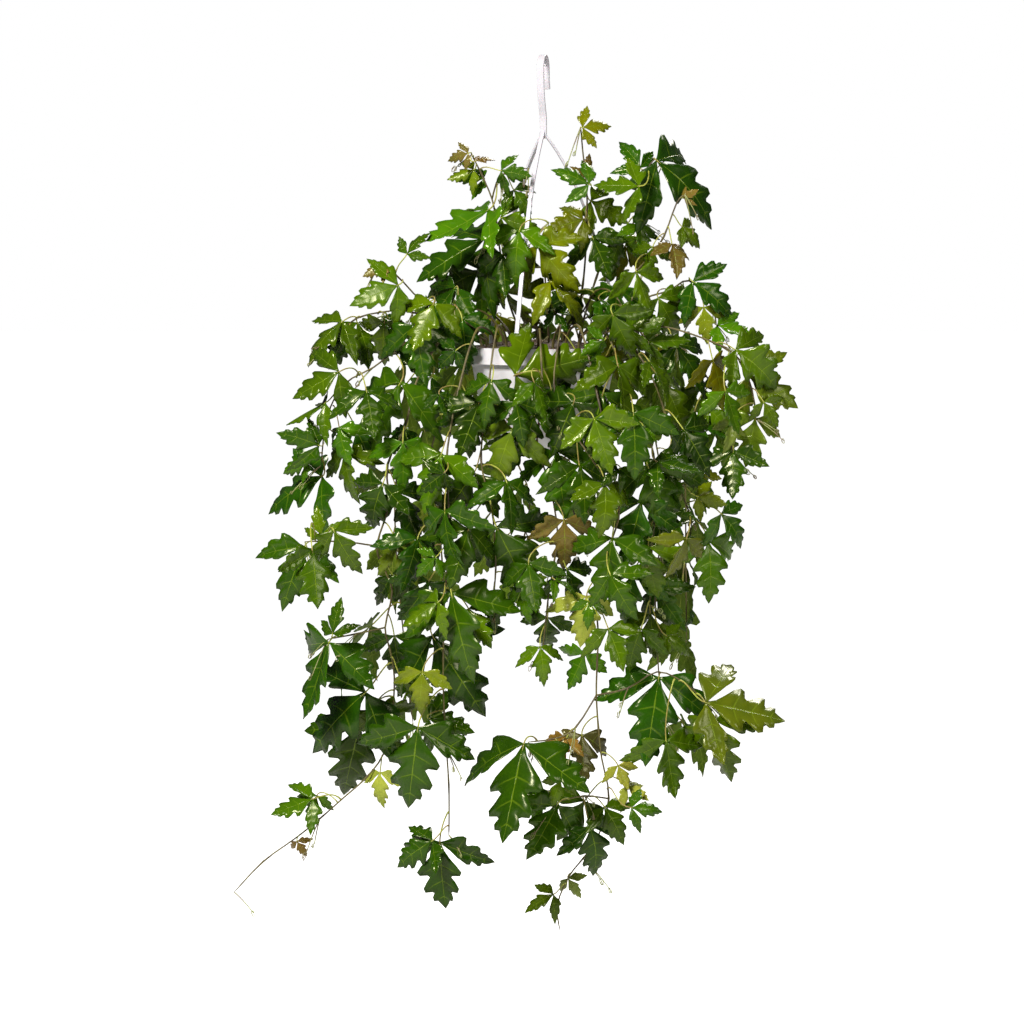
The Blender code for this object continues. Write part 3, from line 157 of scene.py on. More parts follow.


# %% The vines that show from the front
# A leaf marked pale is partly painted backlight: its lighter tone stands in for light shining through the
# blade.
VINES = [
    Vine("vine_top_right", (2.2, -0.8), [
        [(3.9, -27.0, -1.0), (4.6, -22.0, -1.5), (4.8, -15.5, -2.0), (4.3, -10.0, -2.5), (4.1, -7.6, -2.8)],
    ], [
        (4.3, -7.6, 98, 3.4, "olive"),
        (3.9, -8.2, -66, 3.4, "green"),
        (5.0, -13.8, -119, 4.0, "green"),
        (4.9, -13.0, 172, 2.6, "bronze"),
        (5.2, -15.6, 62, 4.8, "green"),
        (4.4, -17.6, -75, 4.2, "olive"),
        (5.4, -19.6, 25, 5.0, "dark"),
    ]),
    Vine("vine_arching_right", (4.0, 3.2), [
        [(4.9, -27.0, 3.4), (7.0, -21.0, 2.6), (10.1, -17.6, 0.0), (11.0, -13.2, -2.0), (12.1, -11.1, -2.5),
         (13.2, -11.3, -2.5)],
    ], [
        (12.4, -11.2, 53, 9.2, "dark"),
        (10.6, -12.0, -148, 3.8, "dark"),
        (10.5, -14.0, -92, 4.9, "green"),
        (10.6, -18.3, 5, 3.8, "green"),
        (8.6, -19.4, -20, 4.4, "green"),
        (8.9, -20.6, 55, 4.0, "olive"),
    ]),
    Vine("vine_bud_right", (4.2, -1.4), [
        [(7.0, -27.4, -2.0), (9.4, -24.2, -3.5), (11.7, -21.6, -4.5), (13.2, -19.5, -5.0),
         (14.6, -15.8, -5.0),
         (15.5, -14.9, -5.0)],
    ], [
        (15.2, -18.4, 55, 3.2, "green"),
        (14.1, -20.3, 14, 3.8, "bronze"),
        (12.0, -20.6, -12, 3.4, "green"),
        (15.4, -15.3, 125, 1.8, "bronze"),
        (10.2, -23.4, 20, 5.2, "green"),
        (8.2, -25.2, -10, 5.2, "dark"),
    ]),
    Vine("vine_long_right", (6.0, -0.9), [
        [(8.6, -28.3, 0.5), (11.0, -26.3, -1.5), (13.8, -25.4, -3.0), (16.0, -24.3, -4.0),
         (18.4, -27.0, -4.0),
         (19.0, -29.2, -4.0)],
    ], [
        (16.4, -24.4, 55, 5.6, "dark"),
        (15.2, -25.0, -60, 3.0, "green"),
        (17.6, -27.2, 6, 3.9, "yellow"),
        (19.1, -29.2, 74, 4.2, "green"),
        (12.6, -26.2, 30, 5.4, "green"),
        (10.0, -27.6, 70, 4.6, "dark"),
    ]),
    Vine("vine_right_shoulder", (6.5, -2.6), [
        [(9.6, -29.4, -4.5), (14.5, -29.6, -7.5), (19.0, -31.2, -8.5), (21.5, -32.9, -8.5),
         (22.9, -36.2, -8.0),
         (23.4, -39.5, -8.0)],
    ], [
        (21.1, -31.9, 57, 6.1, "green"),
        (22.6, -34.7, 58, 6.0, "yellow"),
        (14.6, -31.4, 38, 6.2, "dark"),
        (18.6, -33.0, 18, 5.4, "olive"),
        (20.0, -36.4, 18, 4.8, "green"),
        (23.3, -39.4, -9, 5.4, "yellow"),
        (24.2, -37.6, 32, 3.2, "green"),
        (20.6, -39.9, 0, 4.2, "pale"),
        (11.4, -31.0, 95, 4.6, "green"),
    ]),
    Vine("vine_right_hanging", (6.9, 0.6), [
        [(10.0, -29.8, -0.8), (15.0, -31.4, -3.0), (18.4, -35.6, -5.0), (20.4, -40.6, -6.0),
         (20.9, -44.0, -6.0)],
    ], [
        (20.9, -43.0, -2, 5.2, "dark"),
        (17.4, -35.8, 24, 6.4, "green"),
        (16.6, -39.0, -5, 5.8, "dark"),
        (19.0, -41.0, 30, 5.2, "green"),
        (18.2, -38.4, 50, 4.4, "green"),
    ]),
    Vine("vine_right_low", (5.3, -4.6), [
        [(8.2, -29.8, -8.4), (12.0, -35.0, -11.5), (14.2, -42.0, -12.5), (15.4, -48.0, -12.5),
         (16.3, -50.4, -12.5),
         (16.2, -52.5, -12.5)],
    ], [
        (18.2, -52.9, 6, 6.6, "green"),
        (19.6, -49.9, 42, 4.6, "dark"),
        (17.6, -45.6, 10, 3.0, "olive"),
        (13.0, -35.4, 32, 6.6, "green"),
        (15.4, -40.6, 36, 6.0, "dark"),
        (13.8, -44.6, -4, 6.2, "dark"),
        (17.0, -48.0, 75, 3.2, "olive"),
        (15.8, -52.6, -20, 4.8, "yellow"),
    ]),
    Vine("vine_front_right", (3.9, -5.6), [
        [(6.6, -29.6, -10.0), (8.6, -34.4, -13.5), (10.0, -39.6, -15.5), (11.9, -42.4, -16.0),
         (12.4, -48.0, -15.0),
         (12.0, -54.0, -14.0), (11.8, -60.0, -13.0)],
    ], [
        (11.5, -44.6, 22, 7.2, "dark"),
        (12.6, -44.2, 78, 5.0, "dark"),
        (8.2, -33.6, 14, 7.2, "green"),
        (6.6, -36.6, -16, 7.2, "dark"),
        (9.9, -38.8, 4, 6.6, "dark"),
        (10.8, -48.6, -14, 7.0, "dark"),
        (12.9, -51.2, 34, 5.2, "dark"),
        (11.6, -53.6, 6, 5.6, "green"),
        (10.0, -56.4, -16, 5.6, "dark"),
        (12.4, -58.2, 34, 5.0, "dark"),
        (11.8, -60.9, 8, 5.0, "green"),
        (13.6, -63.4, 62, 3.6, "green"),
        (10.8, -62.6, -22, 4.6, "green"),
    ]),
    Vine("vine_long_front_right", (2.5, -5.6), [
        [(4.0, -29.4, -10.4), (6.0, -37.0, -14.5), (7.6, -45.0, -17.0), (8.3, -50.4, -17.5),
         (5.8, -58.0, -17.0),
         (6.1, -63.0, -16.5), (5.9, -70.0, -15.5), (6.5, -77.0, -14.0), (7.3, -81.5, -13.0),
         (6.0, -86.0, -12.0),
         (2.9, -90.2, -11.5), (1.6, -93.4, -11.0), (1.9, -96.2, -11.0)],
        [(5.9, -70.0, -15.5), (9.4, -69.2, -17.0), (12.6, -67.4, -17.0), (15.6, -68.6, -16.0),
         (17.6, -70.4, -15.0)],
        [(5.9, -70.0, -15.5), (3.6, -73.6, -16.0), (1.4, -74.8, -16.0), (-1.6, -75.2, -16.0)],
        [(7.3, -81.5, -13.0), (4.6, -81.2, -14.0), (1.8, -81.8, -14.5)],
    ], [
        (12.8, -68.0, -10, 9.2, "dark"),
        (13.6, -66.8, 30, 7.4, "dark"),
        (12.0, -66.6, -82, 3.6, "dark"),
        (13.6, -75.0, 8, 6.4, "green"),
        (18.0, -70.8, 78, 8.6, "yellow"),
        (18.8, -72.8, 14, 7.2, "green"),
        (-2.1, -75.4, -14, 10.4, "dark"),
        (4.3, -74.4, 4, 5.2, "bronze"),
        (2.6, -74.8, -22, 3.2, "bronze"),
        (8.3, -77.8, 24, 2.8, "pale"),
        (9.3, -80.0, 60, 2.8, "pale"),
        (9.8, -82.5, 88, 3.4, "green"),
        (1.6, -82.2, -26, 6.2, "dark"),
        (4.6, -81.8, -34, 5.2, "green"),
        (5.2, -84.6, 18, 5.6, "dark"),
        (6.8, -82.4, 34, 4.4, "green"),
        (2.0, -79.4, -22, 3.0, "green"),
        (-0.2, -80.8, -16, 3.4, "green"),
        (1.2, -92.2, -66, 3.4, "green"),
        (2.8, -90.4, 30, 2.6, "pale"),
        (4.8, -59.0, -2, 5.4, "pale"),
        (7.2, -62.6, 24, 4.6, "green"),
        (4.6, -65.4, -24, 4.4, "green"),
        (7.6, -52.6, -8, 6.6, "dark"),
        (7.4, -56.6, 26, 5.2, "green"),
    ]),
    Vine("vine_twiggy_front", (1.1, -6.5), [
        [(1.9, -29.2, -10.0), (1.2, -35.6, -13.5), (2.1, -39.8, -15.8), (3.9, -41.8, -16.8),
         (5.7, -44.4, -17.5),
         (7.1, -46.3, -17.5)],
    ], [
        (5.6, -43.4, 165, 1.8, "pale"),
        (4.2, -33.2, 25, 6.8, "dark"),
        (3.4, -37.6, -24, 6.4, "dark"),
        (5.6, -39.4, 18, 6.0, "green"),
        (4.0, -44.6, 12, 5.8, "dark"),
        (6.8, -46.6, 5, 5.2, "green"),
    ]),
    Vine("vine_front_centre", (-0.5, -6.2), [
        [(-0.4, -29.6, -10.6), (-0.1, -36.6, -13.6), (-0.6, -42.6, -14.6), (0.8, -47.0, -15.0),
         (1.6, -52.0, -15.5),
         (0.6, -59.0, -15.0), (0.0, -65.0, -14.0)],
    ], [
        (-3.0, -34.7, 104, 8.4, "green"),
        (1.5, -43.0, 6, 7.2, "green"),
        (2.3, -50.6, 4, 5.2, "bronze"),
        (-0.3, -64.6, 10, 3.8, "green"),
        (0.5, -61.4, -6, 4.4, "dark"),
        (-1.6, -55.4, 8, 5.2, "dark"),
        (2.6, -56.0, 20, 5.4, "dark"),
        (1.6, -38.2, 30, 6.6, "dark"),
    ]),
    Vine("vine_front_left_short", (-4.0, -5.2), [
        [(-5.0, -29.4, -10.2), (-6.0, -36.0, -13.0), (-6.8, -44.0, -14.5), (-5.6, -49.6, -15.5),
         (-5.2, -56.0, -15.0),
         (-5.5, -60.0, -14.0)],
    ], [
        (-3.3, -40.6, -24, 6.4, "yellow"),
        (-5.1, -51.4, 26, 8.8, "dark"),
        (-5.5, -59.6, 2, 3.6, "dark"),
        (-2.3, -58.2, 6, 3.8, "green"),
        (-1.7, -52.4, 12, 3.4, "yellow"),
        (-7.6, -45.4, -36, 6.8, "dark"),
        (-7.0, -37.6, -20, 6.2, "dark"),
        (-4.0, -46.4, 12, 5.4, "dark"),
        (-8.2, -51.6, -16, 6.6, "dark"),
    ]),
    Vine("vine_front_left", (-5.2, -4.2), [
        [(-7.2, -29.6, -9.6), (-9.2, -36.0, -13.0), (-10.6, -44.0, -15.0), (-10.2, -52.0, -16.0),
         (-10.8, -58.5, -16.0), (-11.0, -66.0, -14.5), (-10.9, -72.0, -13.0), (-10.4, -80.0, -11.5),
         (-10.4, -85.6, -11.0)],
    ], [
        (-10.1, -58.7, 12, 9.6, "dark"),
        (-12.2, -63.4, 33, 9.8, "dark"),
        (-13.3, -67.4, -6, 4.4, "yellow"),
        (-13.8, -73.6, -7, 8.8, "dark"),
        (-12.6, -72.6, 72, 5.2, "dark"),
        (-11.4, -86.4, 2, 7.4, "dark"),
        (-12.2, -86.2, -60, 4.6, "dark"),
        (-8.0, -38.6, 0, 5.0, "dark"),
        (-11.2, -43.4, -18, 6.6, "green"),
        (-10.8, -49.6, 2, 6.4, "dark"),
        (-13.8, -52.6, -14, 6.0, "dark"),
        (-12.6, -57.4, -30, 5.8, "dark"),
        (-8.2, -60.4, 28, 4.8, "green"),
    ]),
    Vine("vine_long_left", (-6.3, -2.6), [
        [(-10.0, -29.8, -5.0), (-13.6, -34.6, -8.5), (-15.2, -40.5, -11.0), (-17.1, -44.5, -12.0),
         (-17.0, -49.0, -12.5), (-18.3, -53.5, -12.5), (-16.6, -58.5, -12.0), (-17.4, -62.5, -11.5),
         (-16.4, -68.0, -10.5), (-17.6, -76.5, -9.5), (-22.0, -81.4, -9.0), (-27.3, -85.9, -8.5),
         (-31.0, -88.6, -8.0), (-34.2, -92.0, -8.0)],
        [(-18.3, -53.5, -12.5), (-22.0, -53.0, -13.5), (-26.2, -53.0, -13.5)],
        [(-17.4, -62.5, -11.5), (-20.5, -63.2, -12.5), (-23.7, -63.8, -12.5)],
    ], [
        (-26.3, -53.6, -22, 6.6, "green"),
        (-25.4, -54.0, 8, 6.0, "green"),
        (-24.4, -52.4, -168, 3.2, "green"),
        (-23.0, -51.8, 28, 5.0, "green"),
        (-23.6, -64.2, -18, 8.4, "dark"),
        (-23.2, -63.2, 172, 3.9, "dark"),
        (-16.4, -63.4, 6, 5.4, "dark"),
        (-15.9, -53.4, 28, 4.4, "yellow"),
        (-19.6, -69.7, -48, 9.2, "dark"),
        (-20.2, -73.2, -14, 8.4, "dark"),
        (-18.4, -71.6, 24, 5.6, "green"),
        (-15.4, -68.4, 40, 5.2, "green"),
        (-25.5, -81.6, -72, 4.8, "green"),
        (-25.0, -81.2, -20, 3.0, "green"),
        (-27.2, -86.3, 25, 2.0, "bronze"),
        (-18.0, -78.6, -8, 3.6, "pale"),
        (-15.4, -42.0, 0, 5.4, "green"),
        (-17.6, -46.6, -24, 5.4, "dark"),
        (-15.9, -47.6, 24, 5.8, "dark"),
        (-16.6, -56.6, 34, 5.4, "dark"),
    ]),
    Vine("vine_left_far", (-6.9, -0.6), [
        [(-10.0, -29.6, -1.0), (-14.5, -30.8, -5.0), (-18.6, -33.8, -8.0), (-22.0, -35.8, -9.0),
         (-23.8, -39.6, -9.0),
         (-24.4, -44.6, -9.0)],
    ], [
        (-22.4, -34.3, -61, 5.8, "green"),
        (-15.6, -35.4, -34, 7.6, "green"),
        (-23.9, -37.7, -64, 4.8, "green"),
        (-24.6, -42.4, -116, 4.3, "dark"),
        (-22.4, -40.4, 10, 4.2, "green"),
        (-21.8, -43.2, 5, 5.2, "green"),
        (-26.0, -44.2, -74, 2.9, "green"),
        (-24.3, -45.8, -66, 7.6, "dark"),
        (-20.6, -40.4, 25, 5.0, "dark"),
        (-19.4, -36.4, 12, 5.4, "dark"),
    ]),
    Vine("vine_left_shoulder", (-6.2, 1.6), [
        [(-8.2, -29.0, 3.2), (-12.0, -28.2, 0.0), (-16.5, -27.6, -3.0), (-20.4, -28.4, -4.5),
         (-22.6, -30.4, -5.0)],
    ], [
        (-22.0, -28.8, -51, 5.4, "green"),
        (-21.8, -30.6, -30, 4.0, "dark"),
        (-20.4, -28.9, 25, 5.0, "green"),
        (-15.5, -30.6, 106, 6.8, "dark"),
        (-17.4, -28.8, -6, 5.2, "green"),
        (-14.0, -29.2, 10, 6.2, "dark"),
    ]),
    Vine("vine_left_crown", (-4.4, -1.2), [
        [(-6.4, -27.8, -2.5), (-9.8, -27.0, -5.0), (-13.1, -26.6, -6.5), (-16.2, -23.6, -7.0),
         (-18.2, -23.0, -7.0)],
    ], [
        (-14.9, -21.4, 148, 3.2, "green"),
        (-17.4, -22.8, -72, 2.4, "bronze"),
        (-16.0, -22.4, 172, 2.0, "bronze"),
        (-15.9, -24.8, -68, 5.4, "green"),
        (-9.6, -25.0, -38, 5.2, "dark"),
        (-12.0, -26.8, -24, 5.6, "green"),
        (-8.9, -28.4, 8, 5.6, "dark"),
    ]),
    Vine("vine_crown_high", (-2.6, 1.4), [
        [(-3.8, -26.5, 0.0), (-4.8, -20.5, -2.0), (-5.6, -15.4, -3.0), (-7.8, -10.6, -3.0)],
        [(-5.6, -15.4, -3.0), (-4.6, -12.8, -3.5), (-1.6, -12.0, -4.0)],
    ], [
        (-8.2, -10.4, -76, 2.3, "bronze"),
        (-7.6, -12.2, -72, 3.0, "olive"),
        (-7.2, -11.2, 112, 1.8, "bronze"),
        (-4.6, -12.3, 82, 3.2, "green"),
        (-6.5, -13.2, -98, 3.0, "green"),
        (-6.0, -16.6, -62, 7.6, "green"),
        (-6.4, -19.8, -64, 8.4, "dark"),
        (-4.6, -17.4, 72, 4.4, "green"),
        (-4.4, -21.4, 4, 4.8, "dark"),
        (-6.8, -23.2, -66, 7.0, "dark"),
        (-3.2, -14.4, 40, 3.4, "green"),
    ]),
    Vine("vine_crown_front", (0.6, -3.0), [
        [(0.4, -27.2, -3.6), (0.2, -22.4, -4.6), (0.6, -18.0, -4.6)],
    ], [
        (-4.0, -25.6, 29, 6.4, "olive"),
        (-0.6, -20.4, 40, 6.2, "olive"),
        (0.8, -24.4, 48, 6.0, "olive"),
        (1.2, -17.4, -20, 4.6, "olive"),
        (0.9, -16.8, 75, 4.2, "green"),
        (-2.6, -18.8, -10, 5.4, "green"),
    ]),
    Vine("vine_crown_right", (2.4, 1.4), [
        [(4.4, -27.6, 0.0), (5.8, -25.4, -3.5), (7.6, -25.6, -6.5), (9.4, -28.4, -8.5)],
    ], [
        (6.2, -26.4, 60, 5.2, "dark"),
        (9.5, -29.6, 108, 4.0, "green"),
        (5.0, -29.0, -24, 6.2, "dark"),
        (3.4, -25.6, -60, 4.6, "dark"),
        (7.6, -28.0, 26, 5.6, "green"),
    ]),
]

# %% Rule for the vines at the back
BACK_VINES = 6
BACK_AZIMUTHS = (104.0, 250.0)
BACK_FEET_RADIUS = (6.4, 4.2)
BACK_LENGTHS = (20.0, 46.0)
BACK_REACH = (15.0, 24.0)
BACK_LEAF_STEP = 9.0
BACK_LEAF_LENGTHS = (4.2, 8.2)


# %% [markdown]
# ## Paths
#
# A stem, a petiole and the hanger's arms are all paths in space. A place in the table is given as it
# looks from the eye, and the third number says how far behind the pot's axis it lies.


# %% Places and paths
def seen(x, z, y):
    """The point y cm behind the pot's axis that looks from EYE as if it lay at x, z cm in the axis's
    plane."""
    in_plane = Vector((x, 0.0, z)) * CM
    return EYE.lerp(in_plane, (y * CM - EYE.y) / -EYE.y)


def around(azimuth, radius, z):
    """The point at this angle from the front, positive to the right, this far from the pot's axis."""
    return Vector((math.sin(azimuth) * radius, -math.cos(azimuth) * radius, z))


def smooth_path(points, longest):
    """The points, with a Catmull-Rom point halfway along each stretch that is longer than longest."""
    path = [points[0]]
    for i, (start, end) in enumerate(zip(points, points[1:])):
        before = points[max(i - 1, 0)]
        after = points[min(i + 2, len(points) - 1)]
        if (end - start).length > longest:
            path.append((start + end) * 0.5 + (start + end - before - after) * 0.0625)
        path.append(end)
    return path


def frames_along(points, side):
    """At each point of a path, a direction along it and two across it, carried on without twist."""
    frames = []
    for i, point in enumerate(points):
        ahead = (points[min(i + 1, len(points) - 1)] - points[max(i - 1, 0)]).normalized()
        side = (side - ahead * side.dot(ahead)).normalized()
        frames.append((ahead, side, ahead.cross(side)))
    return frames


def hook_path():
    """The strap's middle line, from below the neck over the top to the hook's tip, in the hook's own
    plane."""
    radius = HOOK_INNER_RADIUS + STRAP_THICK / 2
    centre = -HOOK_INNER_RADIUS
    path = [(0.0, PART_Z - 0.004), (0.0, NECK_Z), (-radius * 0.42, NECK_Z + 0.014),
            (-radius * 0.86, NECK_Z + 0.030)]
    for k in range(9):
        turn = math.pi * k / 8
        path.append((-radius * math.cos(turn), centre + radius * math.sin(turn)))
    path.append((radius * 1.04, (centre + HOOK_TIP_Z) / 2))
    path.append((radius * 1.25, HOOK_TIP_Z))
    return path


def arm_path(azimuth):
    """An arm's middle line, from the neck down to the top of its tab."""
    top = PART_Z + 0.003 + 0.001 * math.cos(azimuth)
    low = RIM_Z + TAB_RISE
    reach = RIM_RADIUS + GAP + TAB_THICK / 2 + 0.0012
    spots = [(0.0, 0.0), (0.14, 0.10), (0.32, 0.26), (0.52, 0.48), (0.72, 0.70), (0.88, 0.88), (1.0, 1.0)]
    return [around(azimuth, reach * share, top + (low - top) * fall) for share, fall in
            ((s + 0.10 * math.sin(math.pi * s), f) for s, f in spots)]


def soil_z(radius):
    """The height of the potting mix at a distance from the axis."""
    return RIM_Z - SOIL_DROP + MOUND * (1 - (radius / RIM_RADIUS) ** 2)


# %% [markdown]
# ## Simple shapes to keep clear of
#
# Leaves that cross look wrong, so each new leaf is tested against all that is there. The test needs only
# rough shapes: plain tubes for stems and arms, and a flat cut-out with the right outline for a leaf. They
# are search shapes and never show.


# %% Search shapes for tubes and leaves
def tube(points, radii, sides, capped=True):
    """The vertices and faces of a tube: a ring at each point, faces between them, and closed ends."""
    first_side = Vector((0.9, 0.31, 0.22))
    vertices = []
    for point, radius, (_, side, up) in zip(points, radii, frames_along(points, first_side)):
        for k in range(sides):
            turn = 2 * math.pi * k / sides
            vertices.append(point + (side * math.cos(turn) + up * math.sin(turn)) * radius)
    faces = []
    for ring in range(len(points) - 1):
        for k in range(sides):
            low, low_next = ring * sides + k, ring * sides + (k + 1) % sides
            faces.append((low, low_next, low_next + sides, low + sides))
    if capped:
        faces.append(tuple(reversed(range(sides))))
        faces.append(tuple(range(len(vertices) - sides, len(vertices))))
    return vertices, faces


END_SIDE = {
    "large": [(0.34, 0.41), (0.14, 0.48), (0.28, 0.70), (0.10, 0.76)],
    "middle": [(0.34, 0.41), (0.14, 0.48), (0.28, 0.70), (0.10, 0.76)],
    "small": [(0.28, 0.55)],
}
LATERAL_OUTER = {
    "large": [(0.36, 0.40), (0.16, 0.56)],
    "middle": [(0.36, 0.42), (0.15, 0.58)],
    "small": [(0.24, 0.45)],
}
LATERAL_INNER = {"large": [(0.14, 0.56)], "middle": [], "small": []}
BETWEEN = (0.06, 0.12)
BASE_HALF = 0.020
RIB = {"large": [0.05, 0.50], "middle": [0.40], "small": []}
MIDDLE_STATION = {"large": True, "middle": False, "small": False}


class Template(NamedTuple):
    """A flat leaf: its points, the triangles between them, and the numbers of its outline and petiole
    points."""

    points: list
    triangles: list
    outline: list
    petiole: list


def leaf_template(kind):
    """The flat leaf of a kind, with its petiole as a narrow strip below it."""
    ahead = Vector((math.sin(LATERAL_TURN), math.cos(LATERAL_TURN)))
    away = Vector((math.cos(LATERAL_TURN), -math.sin(LATERAL_TURN)))
    right = []
    for across, along in LATERAL_OUTER[kind]:
        right.append((ahead * along + away * across) * LATERAL_SIZE)
    right.append(ahead * LATERAL_SIZE)
    for across, along in LATERAL_INNER[kind]:
        right.append((ahead * along - away * across) * LATERAL_SIZE)
    right.append(Vector(BETWEEN))
    right += [Vector(spot) for spot in END_SIDE[kind]]
    stations = [-0.5, -0.25] if MIDDLE_STATION[kind] else [-0.5]
    strip = [Vector((BASE_HALF, y)) for y in stations] + [Vector((BASE_HALF, 0.0))]
    half = strip + right
    outline = half + [Vector((0.0, 1.0))] + [Vector((-p.x, p.y)) for p in reversed(half)]
    points = outline + [Vector((0.0, y)) for y in RIB[kind]]
    numbers = list(range(len(outline)))
    rib = numbers[len(half):len(half) + 1] + list(range(len(points) - 1, len(outline) - 1, -1))
    result = delaunay_2d_cdt(points, list(zip(rib, rib[1:])), [numbers], 1, 1e-6)
    back = [originals[0] for originals in result[3]]
    triangles = [tuple(back[i] for i in face) for face in result[2]]
    count = len(stations)
    petiole = [(k, len(outline) - 1 - k) for k in range(count)]
    return Template(points, triangles, numbers, petiole)


def leaf_solid(leaf, template, extra=0.0, blade_only=False):
    """The vertices and triangles of a leaf as one thin arched solid, thicker by extra on each face."""
    side = leaf.along.cross(leaf.face)
    centres = []
    halves = []
    for point in template.points:
        across, along = point.x * math.cos(leaf.fold), point.y
        drop = abs(point.x) * math.sin(leaf.fold) + leaf.bend * point.length_squared / 2
        centres.append(leaf.junction + (side * across + leaf.along * along - leaf.face * drop) * leaf.length)
        halves.append(leaf.face * (BLADE_THICK / 2 + extra))
    half = PETIOLE_HALF[leaf.kind]
    path = [leaf.petiole[0], leaf.petiole[len(leaf.petiole) // 2]][:len(template.petiole)] + [leaf.junction]
    frames = frames_along(list(reversed(path)), side)
    for k, (right, left) in enumerate(template.petiole):
        ahead, across, _ = frames[len(path) - 1 - k]
        for number, way in ((right, 1.0), (left, -1.0)):
            width = half * (ROOT_SHARE if k == 0 else 1.0)
            centres[number] = path[k] + across * (width * way)
            halves[number] = across.cross(-ahead) * (width + extra)
    first = len(template.petiole)
    for number, way in ((first, 1.0), (len(template.outline) - 1 - first, -1.0)):
        centres[number] = leaf.junction + side * (half * way)
        halves[number] = leaf.face * (half * 0.8 + extra)
    skip = {number for pair in template.petiole for number in pair} if blade_only else set()
    count = len(centres)
    vertices = [c + h for c, h in zip(centres, halves)] + [c - h for c, h in zip(centres, halves)]
    faces = []
    for a, b, c in template.triangles:
        if not skip.intersection((a, b, c)):
            faces += [(a, b, c), (c + count, b + count, a + count)]
    for a, b in zip(template.outline, template.outline[1:] + template.outline[:1]):
        if not skip.intersection((a, b)):
            faces.append((a + count, b + count, b, a))
    return vertices, faces


# %% A leaf from its row in the table
def nearest_on(paths, spot):
    """The point on the paths that is nearest to a spot."""
    best = None
    for path in paths:
        for start, end in zip(path, path[1:]):
            point, share = intersect_point_line(spot, start, end)
            point = start.lerp(end, min(max(share, 0.0), 1.0))
            if best is None or (point - spot).length < (best - spot).length:
                best = point
    return best


def petiole_path(root, junction, along):
    """A petiole's middle line, leaving the stem upwards and coming in along the end leaflet."""
    reach = (junction - root).length
    first = root + (junction - root) * 0.25 + UP * (reach * 0.25)
    second = junction - along * (reach * 0.35)
    path = []
    for k in range(9):
        t = k / 8
        path.append(root * (1 - t) ** 3 + first * (3 * t * (1 - t) ** 2) + second * (3 * t * t * (1 - t))
                    + junction * t ** 3)
    return path


def kind_of(length):
    """A leaf's kind, by the length of its end leaflet in metres."""
    if length >= LARGE_LENGTH:
        return "large"
    return "middle" if length >= MIDDLE_LENGTH else "small"


def drafted(junction, along, facing, turn, length, tone, paths, draw):
    """A leaf at a place, with its petiole led to the nearest stem."""
    face = (facing - along * facing.dot(along)).normalized()
    face = Matrix.Rotation(turn, 3, along) @ face
    root = nearest_on(paths, junction - along * (length * 0.35) + UP * 0.006)
    fold = math.radians(draw.uniform(2.0, 26.0))
    bend = draw.uniform(0.12, 0.55)
    return Leaf(kind_of(length), tone, junction, along, face, length, fold, bend,
                petiole_path(root, junction, along))


def leaf_as_seen(row, paths, depth, draw, trial):
    """A leaf from its row, at a depth near its stem's, turned a little by the draw."""
    x, z, angle, length, tone = row
    loose = 1.0 + trial * 0.05
    y = depth + draw.uniform(-2.6, 0.8) * loose
    turn = math.radians(draw.uniform(-24.0, 24.0) * loose)
    pitch = draw.uniform(-0.45, 0.25)
    angle = math.radians(angle)
    along = Vector((math.sin(angle), pitch, -math.cos(angle))).normalized()
    junction = seen(x, z, y)
    outward = Vector((junction.x, junction.y, 0.0)).normalized()
    facing = Vector((0.0, -0.75, 0.45)) + outward * 0.35
    return drafted(junction, along, facing, turn, length * CM * draw.uniform(1.0, 1.06), tone, paths, draw)


def leaf_of_back(junction, outward, length, tone, paths, draw, trial):
    """A leaf of a back vine, which faces outwards and hangs."""
    loose = 1.0 + trial * 0.06
    junction = junction + Vector([draw.uniform(-0.012, 0.012) * loose for _ in range(3)])
    swing = Matrix.Rotation(math.radians(draw.uniform(-70.0, 70.0)), 3, outward)
    along = (swing @ -UP + outward * draw.uniform(0.0, 0.45)).normalized()
    facing = outward + UP * 0.5
    turn = math.radians(draw.uniform(-25.0, 25.0) * loose)
    return drafted(junction, along, facing, turn, length * CM, tone, paths, draw)


# %% Testing for room
class Placed(NamedTuple):
    """Something that leaves and stems keep clear of: all of it, and the part that its own vine keeps
    clear of."""

    vine: str
    whole: BVHTree
    free: BVHTree
    root: Vector


def as_tree(*shapes):
    """A search tree of one or more shapes."""
    vertices = []
    faces = []
    for shape in shapes:
        start = len(vertices)
        vertices += [tuple(v) for v in shape[0]]
        faces += [tuple(number + start for number in face) for face in shape[1]]
    return BVHTree.FromPolygons(vertices, faces)


def placed_stem(vine, path):
    """A stem for leaves to keep clear of, a little wider than it is."""
    tree = as_tree(tube(path, [STEM_FOOT_RADIUS + GAP] * len(path), STEM_SIDES))
    return Placed(vine, tree, tree, path[0])


def placed_leaf(vine, leaf, template):
    """A leaf to keep clear of. Within its own vine its petiole counts only away from the stem."""
    stalk = leaf.petiole[len(leaf.petiole) // 3:]
    free = as_tree(leaf_solid(leaf, template, GAP, blade_only=True), tube(stalk, [0.001] * len(stalk), 3))
    return Placed(vine, as_tree(leaf_solid(leaf, template, GAP)), free, leaf.petiole[0])


def is_clear(placed, new):
    """Whether something new clears all that is placed."""
    for other in placed:
        if other.vine == new.vine:
            if new.free.overlap(other.free) or (new.root - other.root).length < ROOT_SPACING:
                return False
        elif new.whole.overlap(other.whole):
            return False
    return True


